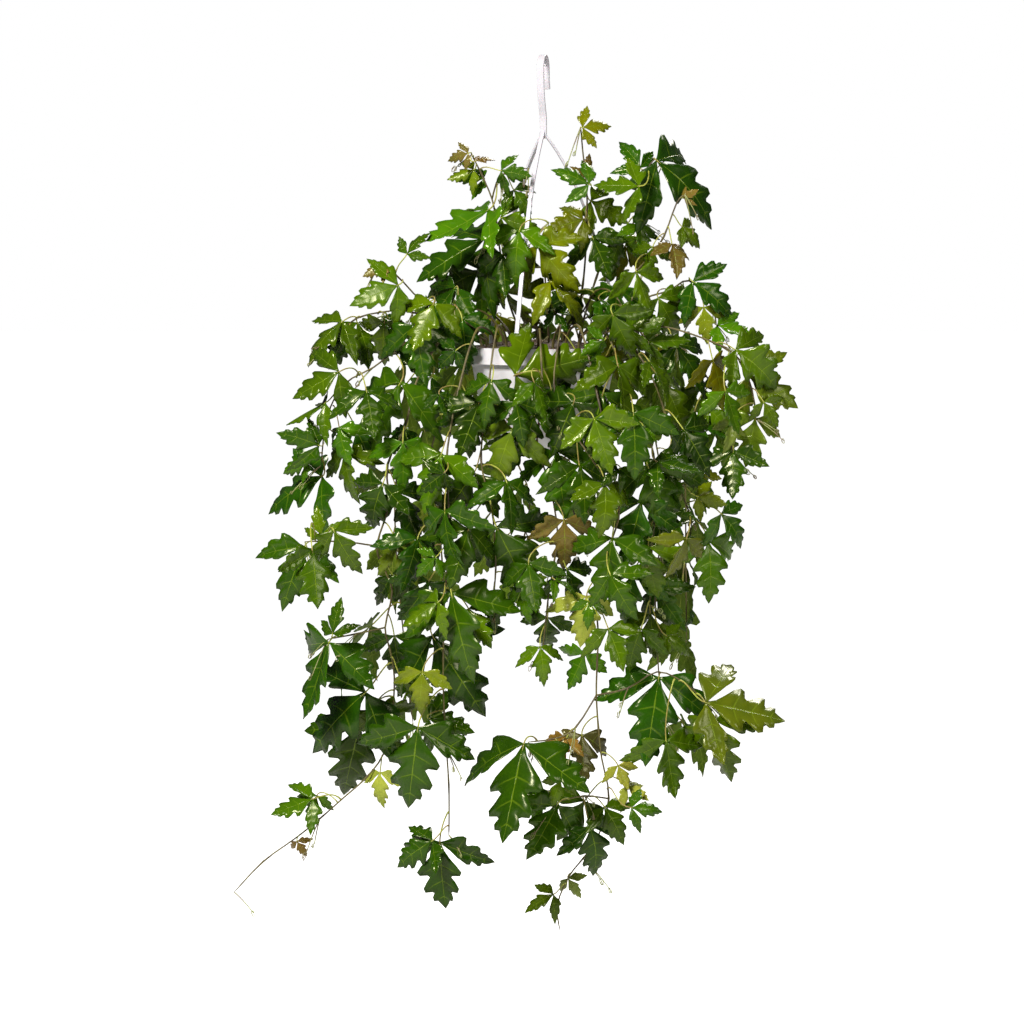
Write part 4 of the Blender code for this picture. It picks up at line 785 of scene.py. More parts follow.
def barriers():
    """Simple shapes round the pot and the hanger, which stems and leaves keep out of."""
    heights = (RIM_Z - POT_HEIGHT - 0.001, RIM_Z - BAND_HEIGHT - 0.003, RIM_Z)
    radii = (BASE_RADIUS + 0.001, RIM_RADIUS + 0.001, RIM_RADIUS + 0.002)
    shapes = [tube([Vector((0.0, 0.0, z)) for z in heights], radii, 24, capped=False)]
    lip = [Vector((0.0, 0.0, RIM_Z - 0.001)), Vector((0.0, 0.0, RIM_Z + 0.002))]
    shapes.append(tube(lip, (RIM_RADIUS + 0.001, RIM_RADIUS - 0.001), 24, capped=False))
    shapes.append(tube(lip, (RIM_RADIUS - 0.006, RIM_RADIUS - 0.005), 24, capped=False))
    for azimuth in ARM_AZIMUTHS:
        path = arm_path(azimuth)
        path.append(around(azimuth, RIM_RADIUS + 0.002, RIM_Z - BAND_HEIGHT - 0.004))
        shapes.append(tube(path, [0.0042] * (len(path) - 2) + [0.006, 0.006], 6))
    shapes.append(tube([UP * 0.004, UP * (PART_Z + 0.004)], [0.022, 0.008], 8))
    shapes.append(tube([UP * FREE_TOP_Z, UP * FREE_LOW_Z], [FREE_RADIUS, FREE_RADIUS], 8))
    return shapes


def soil_barrier():
    """A disc just above the potting mix, which leaves stay over."""
    middles = [Vector((0.0, 0.0, RIM_Z - 0.002)), Vector((0.0, 0.0, RIM_Z + 0.0085))]
    return tube(middles, (RIM_RADIUS - 0.004, RIM_RADIUS * 0.55), 16)


# %% Stems
def wandered(points, draw, amount):
    """A route with its inner points moved a little, its first two and its last left where they are."""
    moved = [p + Vector([draw.uniform(-amount, amount) for _ in range(3)]) for p in points]
    return points[:2] + moved[2:-1] + points[-1:]


def foot_points(x, y):
    """Where a stem stands in its hole, and where it leaves the potting mix."""
    flat = Vector((x, y, 0.0)) * CM
    top = soil_z(flat.length)
    return [flat + UP * (top - HOLE_DEPTH), flat + UP * (top + 0.007)]


def settle_stem(name, foot, routes, placed):
    """A vine's stem paths, with its inner points moved till they clear what is there already."""
    for trial in range(TRIALS):
        draw = random.Random(f"{name} stem {trial}")
        amount = 0.0004 * trial
        trunk = foot + wandered(routes[0], draw, amount)
        paths = [smooth_path(trunk, LONG_SPAN)]
        for route in routes[1:]:
            start = nearest_on(paths, route[0])
            branch = [start] + wandered(route, draw, amount)[1:]
            paths.append(smooth_path(branch, LONG_SPAN))
        if all(is_clear(placed, placed_stem(name, path)) for path in paths):
            return paths
    print("stem left touching:", name)
    return paths


def back_vine(number):
    """The foot, the route and the leaf places of a vine at the back, by rule."""
    draw = random.Random(f"back vine {number}")
    low, high = BACK_AZIMUTHS
    azimuth = math.radians(low + (high - low) * (number + 0.5) / BACK_VINES)
    outward = around(azimuth, 1.0, 0.0)
    foot_radius = BACK_FEET_RADIUS[number % 2]
    length = draw.uniform(*BACK_LENGTHS)
    reach = draw.uniform(*BACK_REACH)
    rise = draw.uniform(2.0, 9.0)
    route = [outward * ((RIM_RADIUS / CM) + 1.4) + UP * (RIM_Z / CM + 1.6 + rise * 0.5)]
    for k in range(1, 6):
        share = k / 5
        out = RIM_RADIUS / CM + 1.4 + (reach - RIM_RADIUS / CM - 1.4) * math.sin(share * math.pi * 0.62)
        z = RIM_Z / CM + 1.6 + rise * math.cos(share * 1.7) * 0.5 - length * share ** 1.5
        sway = math.radians(draw.uniform(-9.0, 9.0)) * share
        route.append(around(azimuth + sway, out, z))
    return math.sin(azimuth) * foot_radius, -math.cos(azimuth) * foot_radius, [p * CM for p in route], draw


# %% The leaves that the solids have
def stays(x, z, length):
    """Whether a leaf is built: a long one is, and a short one where it stands alone, away from the
    crown."""
    return length * CM >= LEAST_LENGTH or math.hypot(x - ALONE_FROM[0], z - ALONE_FROM[1]) > ALONE_DISTANCE


def depth_at(paths, x, z):
    """How far back, in cm, the stem lies where it looks nearest to x, z."""
    spot = Vector((x * CM, 0.0, z * CM))
    best = min((p for path in paths for p in path),
               key=lambda p: (Vector((p.x, 0.0, p.z)) - spot).length)
    return best.y / CM


def back_leaves(path, draw):
    """Places, outward directions, lengths and tones of the leaves along a back vine."""
    spots = []
    travelled = 0.0
    due = BACK_LEAF_STEP * CM * 1.6
    for start, end in zip(path, path[1:]):
        step = (end - start).length
        while travelled + step >= due:
            place = start.lerp(end, (due - travelled) / step)
            outward = Vector((place.x, place.y, 0.0)).normalized()
            sideways = outward.cross(UP) * draw.choice((-1.0, 1.0)) * 0.022
            length = draw.uniform(*BACK_LEAF_LENGTHS)
            tone = draw.choice(("dark", "dark", "green"))
            spots.append((place + outward * 0.018 + sideways, outward, length, tone))
            due += BACK_LEAF_STEP * CM
        travelled += step
    return spots


def leaf_jobs(stems, back_draws):
    """For each leaf, its vine, its number there, and a function that drafts it for a trial's random
    draw."""
    jobs = []
    for vine in VINES:
        paths = stems[vine.name]
        for k, row in enumerate(vine.leaves):
            if stays(row[0], row[1], row[3]):
                depth = depth_at(paths, row[0], row[1])
                jobs.append((vine.name, k, partial(leaf_as_seen, row, paths, depth)))
    for name, draw in back_draws.items():
        paths = stems[name]
        for k, spot in enumerate(back_leaves(paths[0], draw)):
            jobs.append((name, k, partial(leaf_of_back, *spot, paths)))
    return jobs


def lay_out():
    """Every vine: its stem's paths and its leaves, each clear of all that was placed before it."""
    templates = {kind: leaf_template(kind) for kind in END_SIDE}
    placed = [Placed("", as_tree(shape), None, None) for shape in barriers()]
    stems = {}
    back_draws = {}
    for vine in VINES:
        routes = [[seen(x, z, y) for x, z, y in route] for route in vine.routes]
        stems[vine.name] = settle_stem(vine.name, foot_points(*vine.foot), routes, placed)
        placed += [placed_stem(vine.name, path) for path in stems[vine.name]]
    for number in range(BACK_VINES):
        name = f"vine_back_{number + 1}"
        x, y, route, back_draws[name] = back_vine(number)
        stems[name] = settle_stem(name, foot_points(x, y), [route], placed)
        placed += [placed_stem(name, path) for path in stems[name]]
    placed.append(Placed("", as_tree(soil_barrier()), None, None))
    leaves = {name: [] for name in stems}
    for name, k, draft in leaf_jobs(stems, back_draws):
        for trial in range(TRIALS):
            leaf = draft(random.Random(f"{name} leaf {k} {trial}"), trial)
            new = placed_leaf(name, leaf, templates[leaf.kind])
            if is_clear(placed, new):
                leaves[name].append(leaf)
                placed.append(new)
                break
    print("built leaves:", sum(len(found) for found in leaves.values()))
    return stems, leaves, templates, placed


stems, leaves, templates, placed = lay_out()

# %% [markdown]
# ## The smaller leaves
#
# A real plant fills its crown, and the gaps between its big leaves, with shorter ones. They are placed by
# the same test, after all the others, so every leaf of the solids keeps its place. A row that finds no
# room is tried once more at three quarters of its size.

# %% Short rows of the table
EXTRA_TRIALS = 40
SECOND_TRY_SIZE = 0.74
SAME_SPOT = 0.0004
ROOM_PAST_FRAME = 0.004
OPEN_VIEW = ((-0.072, -0.338), (0.018, -0.300))  # x and z, as seen from the eye
FRAME_LOW = Vector(frame_box[0]) - Vector((ROOM_PAST_FRAME,) * 3)
FRAME_HIGH = Vector(frame_box[1]) + Vector((ROOM_PAST_FRAME,) * 3)


def as_seen(point):
    """Where a point shows, from the eye, in the upright plane through the pot's axis."""
    return EYE + (point - EYE) * (EYE.y / (EYE.y - point.y))


def is_inside(leaf):
    """Whether a leaf lies in the solids' box and leaves the view of the mix and the pot's rim open."""
    corners = leaf_solid(leaf, templates[leaf.kind])[0]
    if not all(FRAME_LOW[i] < corner[i] < FRAME_HIGH[i] for corner in corners for i in range(3)):
        return False
    for corner in corners:
        shown = as_seen(corner)
        if corner.y < 0.0 and all(OPEN_VIEW[0][i] < shown[2 * i] < OPEN_VIEW[1][i] for i in range(2)):
            return False
    return True


def try_to_place(name, draft, key, trials):
    """Adds the first draft of a leaf that has room, and says whether one had."""
    for trial in range(trials):
        leaf = draft(random.Random(f"{name} {key} {trial}"), trial)
        if not is_inside(leaf):
            continue
        new = placed_leaf(name, leaf, templates[leaf.kind])
        if is_clear(placed, new):
            leaves[name].append(leaf)
            placed.append(new)
            return True
    return False


def is_placed(name, row):
    """Whether a row's leaf stands already near its place in the table."""
    spot = Vector((row[0] * CM, 0.0, row[1] * CM))
    for leaf in leaves[name]:
        shown = as_seen(leaf.junction)
        if (Vector((shown.x, 0.0, shown.z)) - spot).length < SAME_SPOT:
            return True
    return False


short_rows = 0
for vine in VINES:
    for k, row in enumerate(vine.leaves):
        if not is_placed(vine.name, row):
            depth = depth_at(stems[vine.name], row[0], row[1])
            for size in (1.0, SECOND_TRY_SIZE):
                smaller = (*row[:3], row[3] * size, row[4])
                draft = partial(leaf_as_seen, smaller, stems[vine.name], depth)
                if try_to_place(vine.name, draft, f"short {k}", EXTRA_TRIALS):
                    short_rows += 1
                    break
print("short leaves added:", short_rows)

# %% [markdown]
# ## Leaves before the pot
#
# Short leaves hang close before the pot's wall, so that little more than its rim shows.

# %% Leaves in front of the pot's wall
# Each has its vine, and a row as in the table of vines
COVER_ROWS = (
    ("vine_front_left_short", (-5.6, -35.2, -14, 4.8, "dark")),
    ("vine_front_centre", (-3.0, -37.6, 12, 4.6, "dark")),
    ("vine_front_centre", (-1.0, -35.4, 24, 4.4, "green")),
    ("vine_front_centre", (-0.9, -39.0, -20, 4.6, "dark")),
    ("vine_front_left_short", (-4.4, -39.8, 8, 4.4, "dark")),
    ("vine_front_centre", (0.9, -36.2, 10, 4.2, "dark")),
    ("vine_front_left_short", (-2.8, -41.4, -12, 4.2, "dark")),
)
covered = 0
for k, (name, row) in enumerate(COVER_ROWS):
    depth = depth_at(stems[name], row[0], row[1])
    draft = partial(leaf_as_seen, row, stems[name], depth)
    covered += try_to_place(name, draft, f"cover {k}", EXTRA_TRIALS)
print("leaves in front of the pot:", covered)

# %% [markdown]
# ## Young leaves along the stems
#
# A fast vine sets a young leaf every few centimetres. Even steps along each stem give their places, and a
# seeded draw turns each one a little, so the result is the same each run.

# %% Young leaves that fill the gaps
FILL_STEP = 0.050
FILL_LENGTHS = (2.6, 5.0)
FILL_STALKS = (0.010, 0.034)
FILL_SPREAD = 0.9
FILL_SWING = 75.0
FILL_TURN = 55.0
FILL_TRIALS = 12
FILL_TONES = ("dark", "dark", "dark", "green", "green", "olive")
FILL_LOW_Z = -0.60
FILL_HIGH_Z = -0.23
FILL_REACH = 0.16


def fill_leaf(place, outward, length, tone, paths, draw, trial):
    """A leaf a little way off a stem, facing out and up, that hangs from it."""
    away = outward + Vector([draw.uniform(-FILL_SPREAD, FILL_SPREAD) for _ in range(3)])
    junction = place + away.normalized() * draw.uniform(*FILL_STALKS)
    swing = Matrix.Rotation(math.radians(draw.uniform(-FILL_SWING, FILL_SWING)), 3, outward)
    along = (swing @ -UP + outward * draw.uniform(-0.1, 0.5)).normalized()
    facing = outward * 0.6 + Vector((0.0, -0.35, 0.5))
    turn = math.radians(draw.uniform(-FILL_TURN, FILL_TURN))
    return drafted(junction, along, facing, turn, length * CM, tone, paths, draw)


def filled(name, paths):
    """Adds leaves at even steps along a vine's stems, outside the pot, where there is room."""
    added = 0
    for number, path in enumerate(paths):
        travelled = 0.0
        for k, (start, end) in enumerate(zip(path, path[1:])):
            travelled += (end - start).length
            if (number == 0 and k == 0) or travelled < FILL_STEP:
                continue
            steps = int(travelled / FILL_STEP)
            travelled = 0.0
            for step in range(steps):
                draw = random.Random(f"{name} fill {number} {k} {step}")
                place = start.lerp(end, draw.random())
                if not FILL_LOW_Z < place.z < FILL_HIGH_Z or abs(place.x) > FILL_REACH:
                    continue
                outward = Vector((place.x, place.y - 0.02, 0.0)).normalized()
                tone = draw.choice(FILL_TONES)
                length = draw.uniform(*FILL_LENGTHS)
                draft = partial(fill_leaf, place, outward, length, tone, paths)
                added += try_to_place(name, draft, f"fill {number} {k} {step}", FILL_TRIALS)
    return added


print("fill leaves added:", sum(filled(name, paths) for name, paths in stems.items()))

# %% [markdown]
# ## Drawing tubes and straps
#
# A stem, a petiole, a tendril and the hanger's strap are one idea: a closed outline pushed along a path.
# A curve object with a bevel could do it, but an extruded ring gives a mesh whose swollen joints and flat
# straps are plain steps of the same loop.


# %% A ring pushed along a path
FIRST_SIDE = Vector((0.9, 0.31, 0.22))  # off every path's direction, so a ring can be turned by it


def swept(bm, stations, sides, close_ends=True):
    """Pushes a ring through the stations, each a matrix that places a ring of radius 1. Returns the
    new faces."""
    ring = bmesh.ops.create_circle(bm, segments=sides, radius=1.0)["verts"]
    flat = [vertex.co.copy() for vertex in ring]
    edges = list({edge for vertex in ring for edge in vertex.link_edges})
    first_edges = edges
    faces = []
    for vertex, spot in zip(ring, flat):
        vertex.co = stations[0] @ spot
    for station in stations[1:]:
        made = bmesh.ops.extrude_edge_only(bm, edges=edges)["geom"]
        new = {item for item in made if isinstance(item, bmesh.types.BMVert)}
        faces += [item for item in made if isinstance(item, bmesh.types.BMFace)]
        ring = [next(edge.other_vert(vertex) for edge in vertex.link_edges if edge.other_vert(vertex) in new)
                for vertex in ring]
        edges = [edge for edge in made if isinstance(edge, bmesh.types.BMEdge) and set(edge.verts) <= new]
        for vertex, spot in zip(ring, flat):
            vertex.co = station @ spot
    if close_ends:
        for ends in (first_edges, edges):
            faces += bmesh.ops.edgeloop_fill(bm, edges=ends)["faces"]
    bmesh.ops.recalc_face_normals(bm, faces=faces)
    return faces


def station_at(middle, across, through):
    """The matrix that puts a ring round a point, with these half widths."""
    ahead = across.cross(through).normalized()
    turn = Matrix((across, through, ahead)).transposed()
    return Matrix.Translation(middle) @ turn.to_4x4()


def tube_stations(points, radii):
    """Stations of a round tube along a path."""
    stations = []
    for point, radius, (_, side, up) in zip(points, radii, frames_along(points, FIRST_SIDE)):
        stations.append(station_at(point, side * radius, up * radius))
    return stations


def curved(points, pieces):
    """The points with a smooth curve through them, in this many pieces for each stretch."""
    path = []
    for i, (start, end) in enumerate(zip(points, points[1:])):
        before = points[max(i - 1, 0)]
        after = points[min(i + 2, len(points) - 1)]
        for k in range(pieces):
            t = k / pieces
            square = (2 * before - 5 * start + 4 * end - after) * t * t
            cube = (3 * start - before - 3 * end + after) * t ** 3
            path.append(0.5 * (2 * start + (end - before) * t + square + cube))
    return path + [points[-1]]


def piece_of(name, bm, materials):
    """The finished object of a bmesh, riding on the root, with its finishes."""
    mesh = bpy.data.meshes.new(name)
    bm.to_mesh(mesh)
    bm.free()
    mesh.shade_smooth()
    for finish in materials:
        mesh.materials.append(finish)
    piece = bpy.data.objects.new(name, mesh)
    bpy.context.scene.collection.objects.link(piece)
    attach(piece, "root")
    return piece


# %% [markdown]
# ## Finishes
#
# Every finish is built from shader nodes. Patterns that belong to a leaf follow its own UV map, so the
# veins run with the blade, and the leaf's tone is stored on the mesh as an attribute. Plastic, stems and
# mix use Object coordinates.


# %% A small helper for shader nodes
class Finish:
    """A material under construction: short calls add a node and give back the socket that comes out of
    it."""

    def __init__(self, name):
        self.material = bpy.data.materials.new(name)
        self.material.use_nodes = True
        self.nodes = self.material.node_tree.nodes
        self.links = self.material.node_tree.links
        self.shader = self.nodes["Principled BSDF"]
        self.coordinates = self.nodes.new("ShaderNodeTexCoord").outputs

    def put(self, target, value):
        """Links a socket, or sets a plain value."""
        if isinstance(value, bpy.types.NodeSocket):
            self.links.new(value, target)
        else:
            target.default_value = value

    def math(self, operation, *values):
        """The result of a Math node."""
        node = self.nodes.new("ShaderNodeMath")
        node.operation = operation
        for socket, value in zip(node.inputs, values):
            self.put(socket, value)
        return node.outputs[0]

    def noise(self, scale, detail):
        """A noise pattern from 0 to 1."""
        node = self.nodes.new("ShaderNodeTexNoise")
        node.inputs["Scale"].default_value = scale
        node.inputs["Detail"].default_value = detail
        self.put(node.inputs["Vector"], self.coordinates["Object"])
        return node.outputs["Fac"]

    def ranged(self, value, low, high, to_low, to_high):
        """A value smoothly mapped from one range to another."""
        node = self.nodes.new("ShaderNodeMapRange")
        node.interpolation_type = "SMOOTHSTEP"
        for key, item in (("Value", value), ("From Min", low), ("From Max", high), ("To Min", to_low),
                          ("To Max", to_high)):
            self.put(node.inputs[key], item)
        return node.outputs["Result"]

    def mixed(self, share, first, second, blend="MIX"):
        """Two colours mixed."""
        node = self.nodes.new("ShaderNodeMix")
        node.data_type = "RGBA"
        node.blend_type = blend
        self.put(node.inputs["Factor"], share)
        self.put(node.inputs["A"], first)
        self.put(node.inputs["B"], second)
        return node.outputs["Result"]

    def attribute(self, name):
        """A colour stored on the mesh."""
        node = self.nodes.new("ShaderNodeAttribute")
        node.attribute_name = name
        return node.outputs["Color"]

    def bump(self, height, strength, distance):
        """Gives the shader small relief."""
        node = self.nodes.new("ShaderNodeBump")
        node.inputs["Strength"].default_value = strength
        node.inputs["Distance"].default_value = distance
        self.put(node.inputs["Height"], height)
        self.put(self.shader.inputs["Normal"], node.outputs["Normal"])

    def done(self, colour, roughness, **constants):
        """Sets the shader's colour, roughness and constant values, and gives the material."""
        self.put(self.shader.inputs["Base Color"], colour)
        self.put(self.shader.inputs["Roughness"], roughness)
        for key, value in constants.items():
            self.shader.inputs[key.replace("_", " ")].default_value = value
        return self.material


# %% Leaves: a glossy upper face and a paler underside
VEIN_STEPS = 3.5  # side veins on each half of a leaflet
BLOTCH_SHADE = (0.40, 0.55, 0.30, 1.0)
GRAIN_SHADE = (0.07, 0.12, 0.004, 1.0)
UPPER_VEIN = (0.20, 0.30, 0.012, 1.0)
LOWER_VEIN = (0.30, 0.36, 0.06, 1.0)
LOWER_BLADE = (0.14, 0.215, 0.014, 1.0)
GLOSS_TINT = (1.0, 1.0, 0.7, 1.0)
LEAF_RELIEF = 0.0007


def leaf_finish(name, upper):
    """The finish of one face of the leaves. Veins are sunk and yellow-green above, raised and paler
    below."""
    made = Finish(name)
    blade = made.nodes.new("ShaderNodeUVMap")
    blade.uv_map = "blade"
    parts = made.nodes.new("ShaderNodeSeparateXYZ")
    made.put(parts.inputs[0], blade.outputs[0])
    off_rib = made.math("ABSOLUTE", made.math("SUBTRACT", parts.outputs["X"], 0.5))
    rib = made.ranged(off_rib, 0.005, 0.024, 1.0, 0.0)
    step = made.math("FRACT", made.math("MULTIPLY", parts.outputs["Y"], VEIN_STEPS))
    off_vein = made.math("SUBTRACT", 0.5, made.math("ABSOLUTE", made.math("SUBTRACT", step, 0.5)))
    vein = made.math("MULTIPLY", made.ranged(off_vein, 0.01, 0.055, 1.0, 0.0),
                     made.ranged(off_rib, 0.1, 0.45, 0.6, 0.05))
    lines = made.math("MAXIMUM", rib, vein)
    blotch = made.noise(38.0, 3.0)
    grain = made.noise(420.0, 4.0)
    tone = made.attribute("tone")
    shade = made.mixed(made.ranged(blotch, 0.3, 0.7, 0.0, 0.6), tone, BLOTCH_SHADE, "MULTIPLY")
    shade = made.mixed(made.ranged(grain, 0.4, 0.8, 0.0, 0.12), shade, GRAIN_SHADE)
    if upper:
        colour = made.mixed(made.math("MULTIPLY", lines, 0.42), shade, UPPER_VEIN)
        height = made.math("SUBTRACT", made.math("MULTIPLY", grain, 0.2), lines)
        made.bump(height, 0.5, LEAF_RELIEF)
        return made.done(colour, made.ranged(blotch, 0.3, 0.75, 0.16, 0.33), Specular_IOR_Level=0.3,
                         Specular_Tint=GLOSS_TINT)
    pale = made.mixed(0.45, shade, LOWER_BLADE)
    colour = made.mixed(made.math("MULTIPLY", lines, 0.5), pale, LOWER_VEIN)
    made.bump(made.math("MULTIPLY_ADD", grain, 0.4, lines), 0.5, LEAF_RELIEF)
    return made.done(colour, made.ranged(blotch, 0.3, 0.75, 0.48, 0.62), Specular_IOR_Level=0.15)


upper_leaf = leaf_finish("glossy_leaf_face", True)
lower_leaf = leaf_finish("pale_leaf_underside", False)


# %% Stems, petioles and tendrils
def stalk_finish(name, young, old, roughness):
    """A stalk's finish: a young colour broken by patches of an older one, with fine grain."""
    made = Finish(name)
    patch = made.ranged(made.noise(60.0, 4.0), 0.38, 0.66, 0.0, 1.0)
    fine = made.noise(700.0, 3.0)
    colour = made.mixed(patch, young, old)
    colour = made.mixed(made.ranged(fine, 0.45, 0.75, 0.0, 0.35), colour, (0.03, 0.02, 0.015, 1.0))
    made.bump(fine, 0.4, 0.0005)
    return made.done(colour, made.ranged(fine, 0.3, 0.7, roughness - 0.08, roughness + 0.08))


stem_finish = stalk_finish("woody_stem", (0.115, 0.100, 0.024, 1.0), (0.050, 0.034, 0.014, 1.0), 0.55)
petiole_finish = stalk_finish("yellow_green_petiole", (0.34, 0.38, 0.05, 1.0), (0.22, 0.16, 0.04, 1.0), 0.48)
tendril_finish = stalk_finish("tendril", (0.26, 0.30, 0.10, 1.0), (0.16, 0.12, 0.06, 1.0), 0.5)


# %% Moulded white plastic
def plastic_finish(name, colour, dust):
    """White plastic with a faint lilac cast, a fine moulded grain and dust that dulls it in patches."""
    made = Finish(name)
    cloud = made.ranged(made.noise(22.0, 5.0), 0.42, 0.72, 0.0, 1.0)
    speck = made.ranged(made.noise(320.0, 2.0), 0.66, 0.74, 0.0, 1.0)
    fine = made.noise(900.0, 2.0)
    shown = made.mixed(made.math("MULTIPLY", cloud, 0.5), colour, dust)
    shown = made.mixed(made.math("MULTIPLY", speck, 0.25), shown, (0.32, 0.28, 0.22, 1.0))
    made.bump(fine, 0.15, 0.0003)
    return made.done(shown, made.ranged(cloud, 0.0, 1.0, 0.26, 0.44), Subsurface_Weight=0.06,
                     Subsurface_Scale=0.004)


pot_finish = plastic_finish("white_pot_plastic", (0.66, 0.65, 0.70, 1.0), (0.56, 0.54, 0.56, 1.0))
# The hanger is the same white plastic as the pot, painted darker and grey-lilac: painted shade, so it stands
# out from the white background.
hanger_finish_painted_shade = plastic_finish("white_hanger_plastic", (0.52, 0.51, 0.58, 1.0), (0.44, 0.43, 0.48, 1.0))


# %% Potting mix and its crumbs
def mix_finish():
    """Damp dark mix: two browns in clumps, with coarse and fine relief."""
    made = Finish("damp_potting_mix")
    clump = made.noise(150.0, 6.0)
    fine = made.noise(900.0, 4.0)
    colour = made.mixed(made.ranged(clump, 0.35, 0.65, 0.0, 1.0), (0.018, 0.011, 0.007, 1.0),
                        (0.085, 0.052, 0.030, 1.0))
    made.bump(made.math("MULTIPLY_ADD", fine, 0.4, clump), 0.9, 0.004)
    return made.done(colour, made.ranged(fine, 0.3, 0.7, 0.75, 0.95))


def crumb_finish():
    """Bark, husk and white grit, each crumb with its own tone."""
    made = Finish("bark_and_grit")
    fine = made.noise(1200.0, 4.0)
    dust = made.ranged(fine, 0.4, 0.7, 0.0, 0.5)
    colour = made.mixed(dust, made.attribute("tone"), (0.02, 0.014, 0.01, 1.0))
    made.bump(fine, 0.6, 0.0008)
    return made.done(colour, made.ranged(fine, 0.3, 0.7, 0.7, 0.92))


mix_material = mix_finish()
crumb_material = crumb_finish()
print("finishes:", len(bpy.data.materials))

# %% [markdown]
# ## Leaflets
#
# A leaf of this plant has three leaflets on one petiole. The end leaflet has two forward-pointing lobes
# on each side, and the side leaflets are lopsided, with the broad half below. A grid is a good start for
# such a blade: its middle column becomes the midrib, and each row is bent forward along a side vein to a
# lobe's tip or to a notch.

# %% The outline of each leaflet
# Each row of a half leaflet: how far along the rib it leaves, and where it meets the edge, across and along
END_ROWS = [(0.00, 0.012, 0.00), (0.10, 0.065, 0.12), (0.18, 0.16, 0.22), (0.25, 0.275, 0.33),
            (0.29, 0.335, 0.42), (0.34, 0.30, 0.475), (0.40, 0.175, 0.475), (0.44, 0.135, 0.50),
            (0.48, 0.205, 0.58), (0.53, 0.275, 0.67), (0.58, 0.25, 0.73), (0.63, 0.145, 0.725),
            (0.67, 0.12, 0.745), (0.72, 0.16, 0.81), (0.77, 0.145, 0.865), (0.83, 0.085, 0.865),
            (0.91, 0.055, 0.925), (1.00, 0.0, 1.00)]
OUTER_ROWS = [(0.00, 0.012, 0.00), (0.10, 0.09, 0.09), (0.18, 0.20, 0.18), (0.25, 0.31, 0.28),
              (0.29, 0.36, 0.38), (0.34, 0.335, 0.44), (0.40, 0.19, 0.46), (0.44, 0.155, 0.49),
              (0.48, 0.21, 0.57), (0.53, 0.25, 0.66), (0.58, 0.225, 0.72), (0.63, 0.13, 0.73),
              (0.67, 0.105, 0.75), (0.72, 0.13, 0.81), (0.77, 0.12, 0.865), (0.83, 0.07, 0.87),
              (0.91, 0.045, 0.93), (1.00, 0.0, 1.00)]
INNER_ROWS = [(0.00, 0.008, 0.00), (0.10, 0.03, 0.12), (0.18, 0.055, 0.22), (0.25, 0.085, 0.33),
              (0.29, 0.105, 0.40), (0.34, 0.125, 0.46), (0.40, 0.15, 0.53), (0.44, 0.165, 0.59),
              (0.48, 0.155, 0.64), (0.53, 0.09, 0.64), (0.58, 0.11, 0.70), (0.63, 0.14, 0.77),
              (0.67, 0.13, 0.81), (0.72, 0.075, 0.81), (0.77, 0.075, 0.85), (0.83, 0.065, 0.89),
              (0.91, 0.04, 0.94), (1.00, 0.0, 1.00)]
COLUMNS = 4
PLAIN_WIDTH = 0.25  # of half a rhombus that stands in for a lobed edge
PLAIN_SHARES = {"large": (0.0, 0.25), "middle": (0.1, 0.45), "small": (0.3, 0.6)}
VEIN_CURVE = 1.35
CUP = 0.34
WAVE = 0.018
WAVE_STEP = 1.7
WAVE_SHIFT = 1.3
TWIST = math.radians(32.0)
TIP_CURL = 0.42


def edge_spot(row, share):
    """A row's edge point. share says how plain the edge is: 0 is fully lobed and 1 is a plain rhombus."""
    rib, across, along = row
    plain = PLAIN_WIDTH * min(along / 0.5, (1.0 - along) / 0.5)
    return rib, across * (1 - share) + plain * share, along


def leaflet_spot(right_rows, left_rows, u, number, share):
    """A grid vertex in the flat leaflet: u runs from edge to edge and number counts the rows."""
    rib, across, along = edge_spot((right_rows if u >= 0 else left_rows)[number], share)
    return Vector((across * u, rib + (along - rib) * abs(u) ** VEIN_CURVE))


# %% Laying a leaflet in space
TONES = {
    "dark": (0.015, 0.058, 0.001),
    "green": (0.044, 0.112, 0.001),
    "olive": (0.100, 0.138, 0.002),
    "yellow": (0.088, 0.150, 0.008),
    # The pale tone is partly the leaf's own paler colour and partly painted light: leaves that light shines
    # through from behind are given it as painted backlight.
    "pale": (0.185, 0.260, 0.045),
    "bronze": (0.110, 0.085, 0.020),
}


def lifted(leaf, flat, lift):
    """Where a point of the flat leaf lies on the folded and arched one, raised off it by lift leaf
    lengths."""
    side = leaf.along.cross(leaf.face)
    drop = abs(flat.x) * math.sin(leaf.fold) + leaf.bend * flat.length_squared / 2 - lift
    across = side * (flat.x * math.cos(leaf.fold))
    return leaf.junction + (across + leaf.along * flat.y - leaf.face * drop) * leaf.length


def add_leaflet(bm, leaf, rows, turned, size, colour, share, draw):
    """Adds one leaflet's blade: rows are its right and left halves, turned maps it into the flat leaf."""
    right_rows, left_rows = rows
    tone_layer = bm.loops.layers.float_color["tone"]
    steps = len(END_ROWS) - 1
    made = bmesh.ops.create_grid(bm, x_segments=COLUMNS, y_segments=steps, size=1.0, calc_uvs=True)
    wave = draw.uniform(0.0, math.tau)
    cup = CUP * draw.uniform(-0.3, 1.7)
    twist = math.tan(TWIST * draw.uniform(-1.0, 1.0))
    curl = TIP_CURL * draw.uniform(-0.4, 1.0)
    for vertex in made["verts"]:
        u = vertex.co.x
        number = round((vertex.co.y + 1.0) * 0.5 * steps)
        spot = leaflet_spot(right_rows, left_rows, u, number, share)
        ripple = WAVE * u * u * math.sin(number * WAVE_STEP + wave + (WAVE_SHIFT if u < 0 else 0.0))
        twisted = twist * spot.x * min(spot.y * 4.0, 1.0)
        lift = size * (cup * abs(spot.x) + twisted - curl * spot.y ** 3 + ripple)
        vertex.co = lifted(leaf, turned(spot) * size, lift)
    for face in {face for vertex in made["verts"] for face in vertex.link_faces}:
        for loop in face.loops:
            loop[tone_layer] = (*colour, 1.0)


def end_turn(spot):
    """The end leaflet lies straight along the leaf."""
    return spot


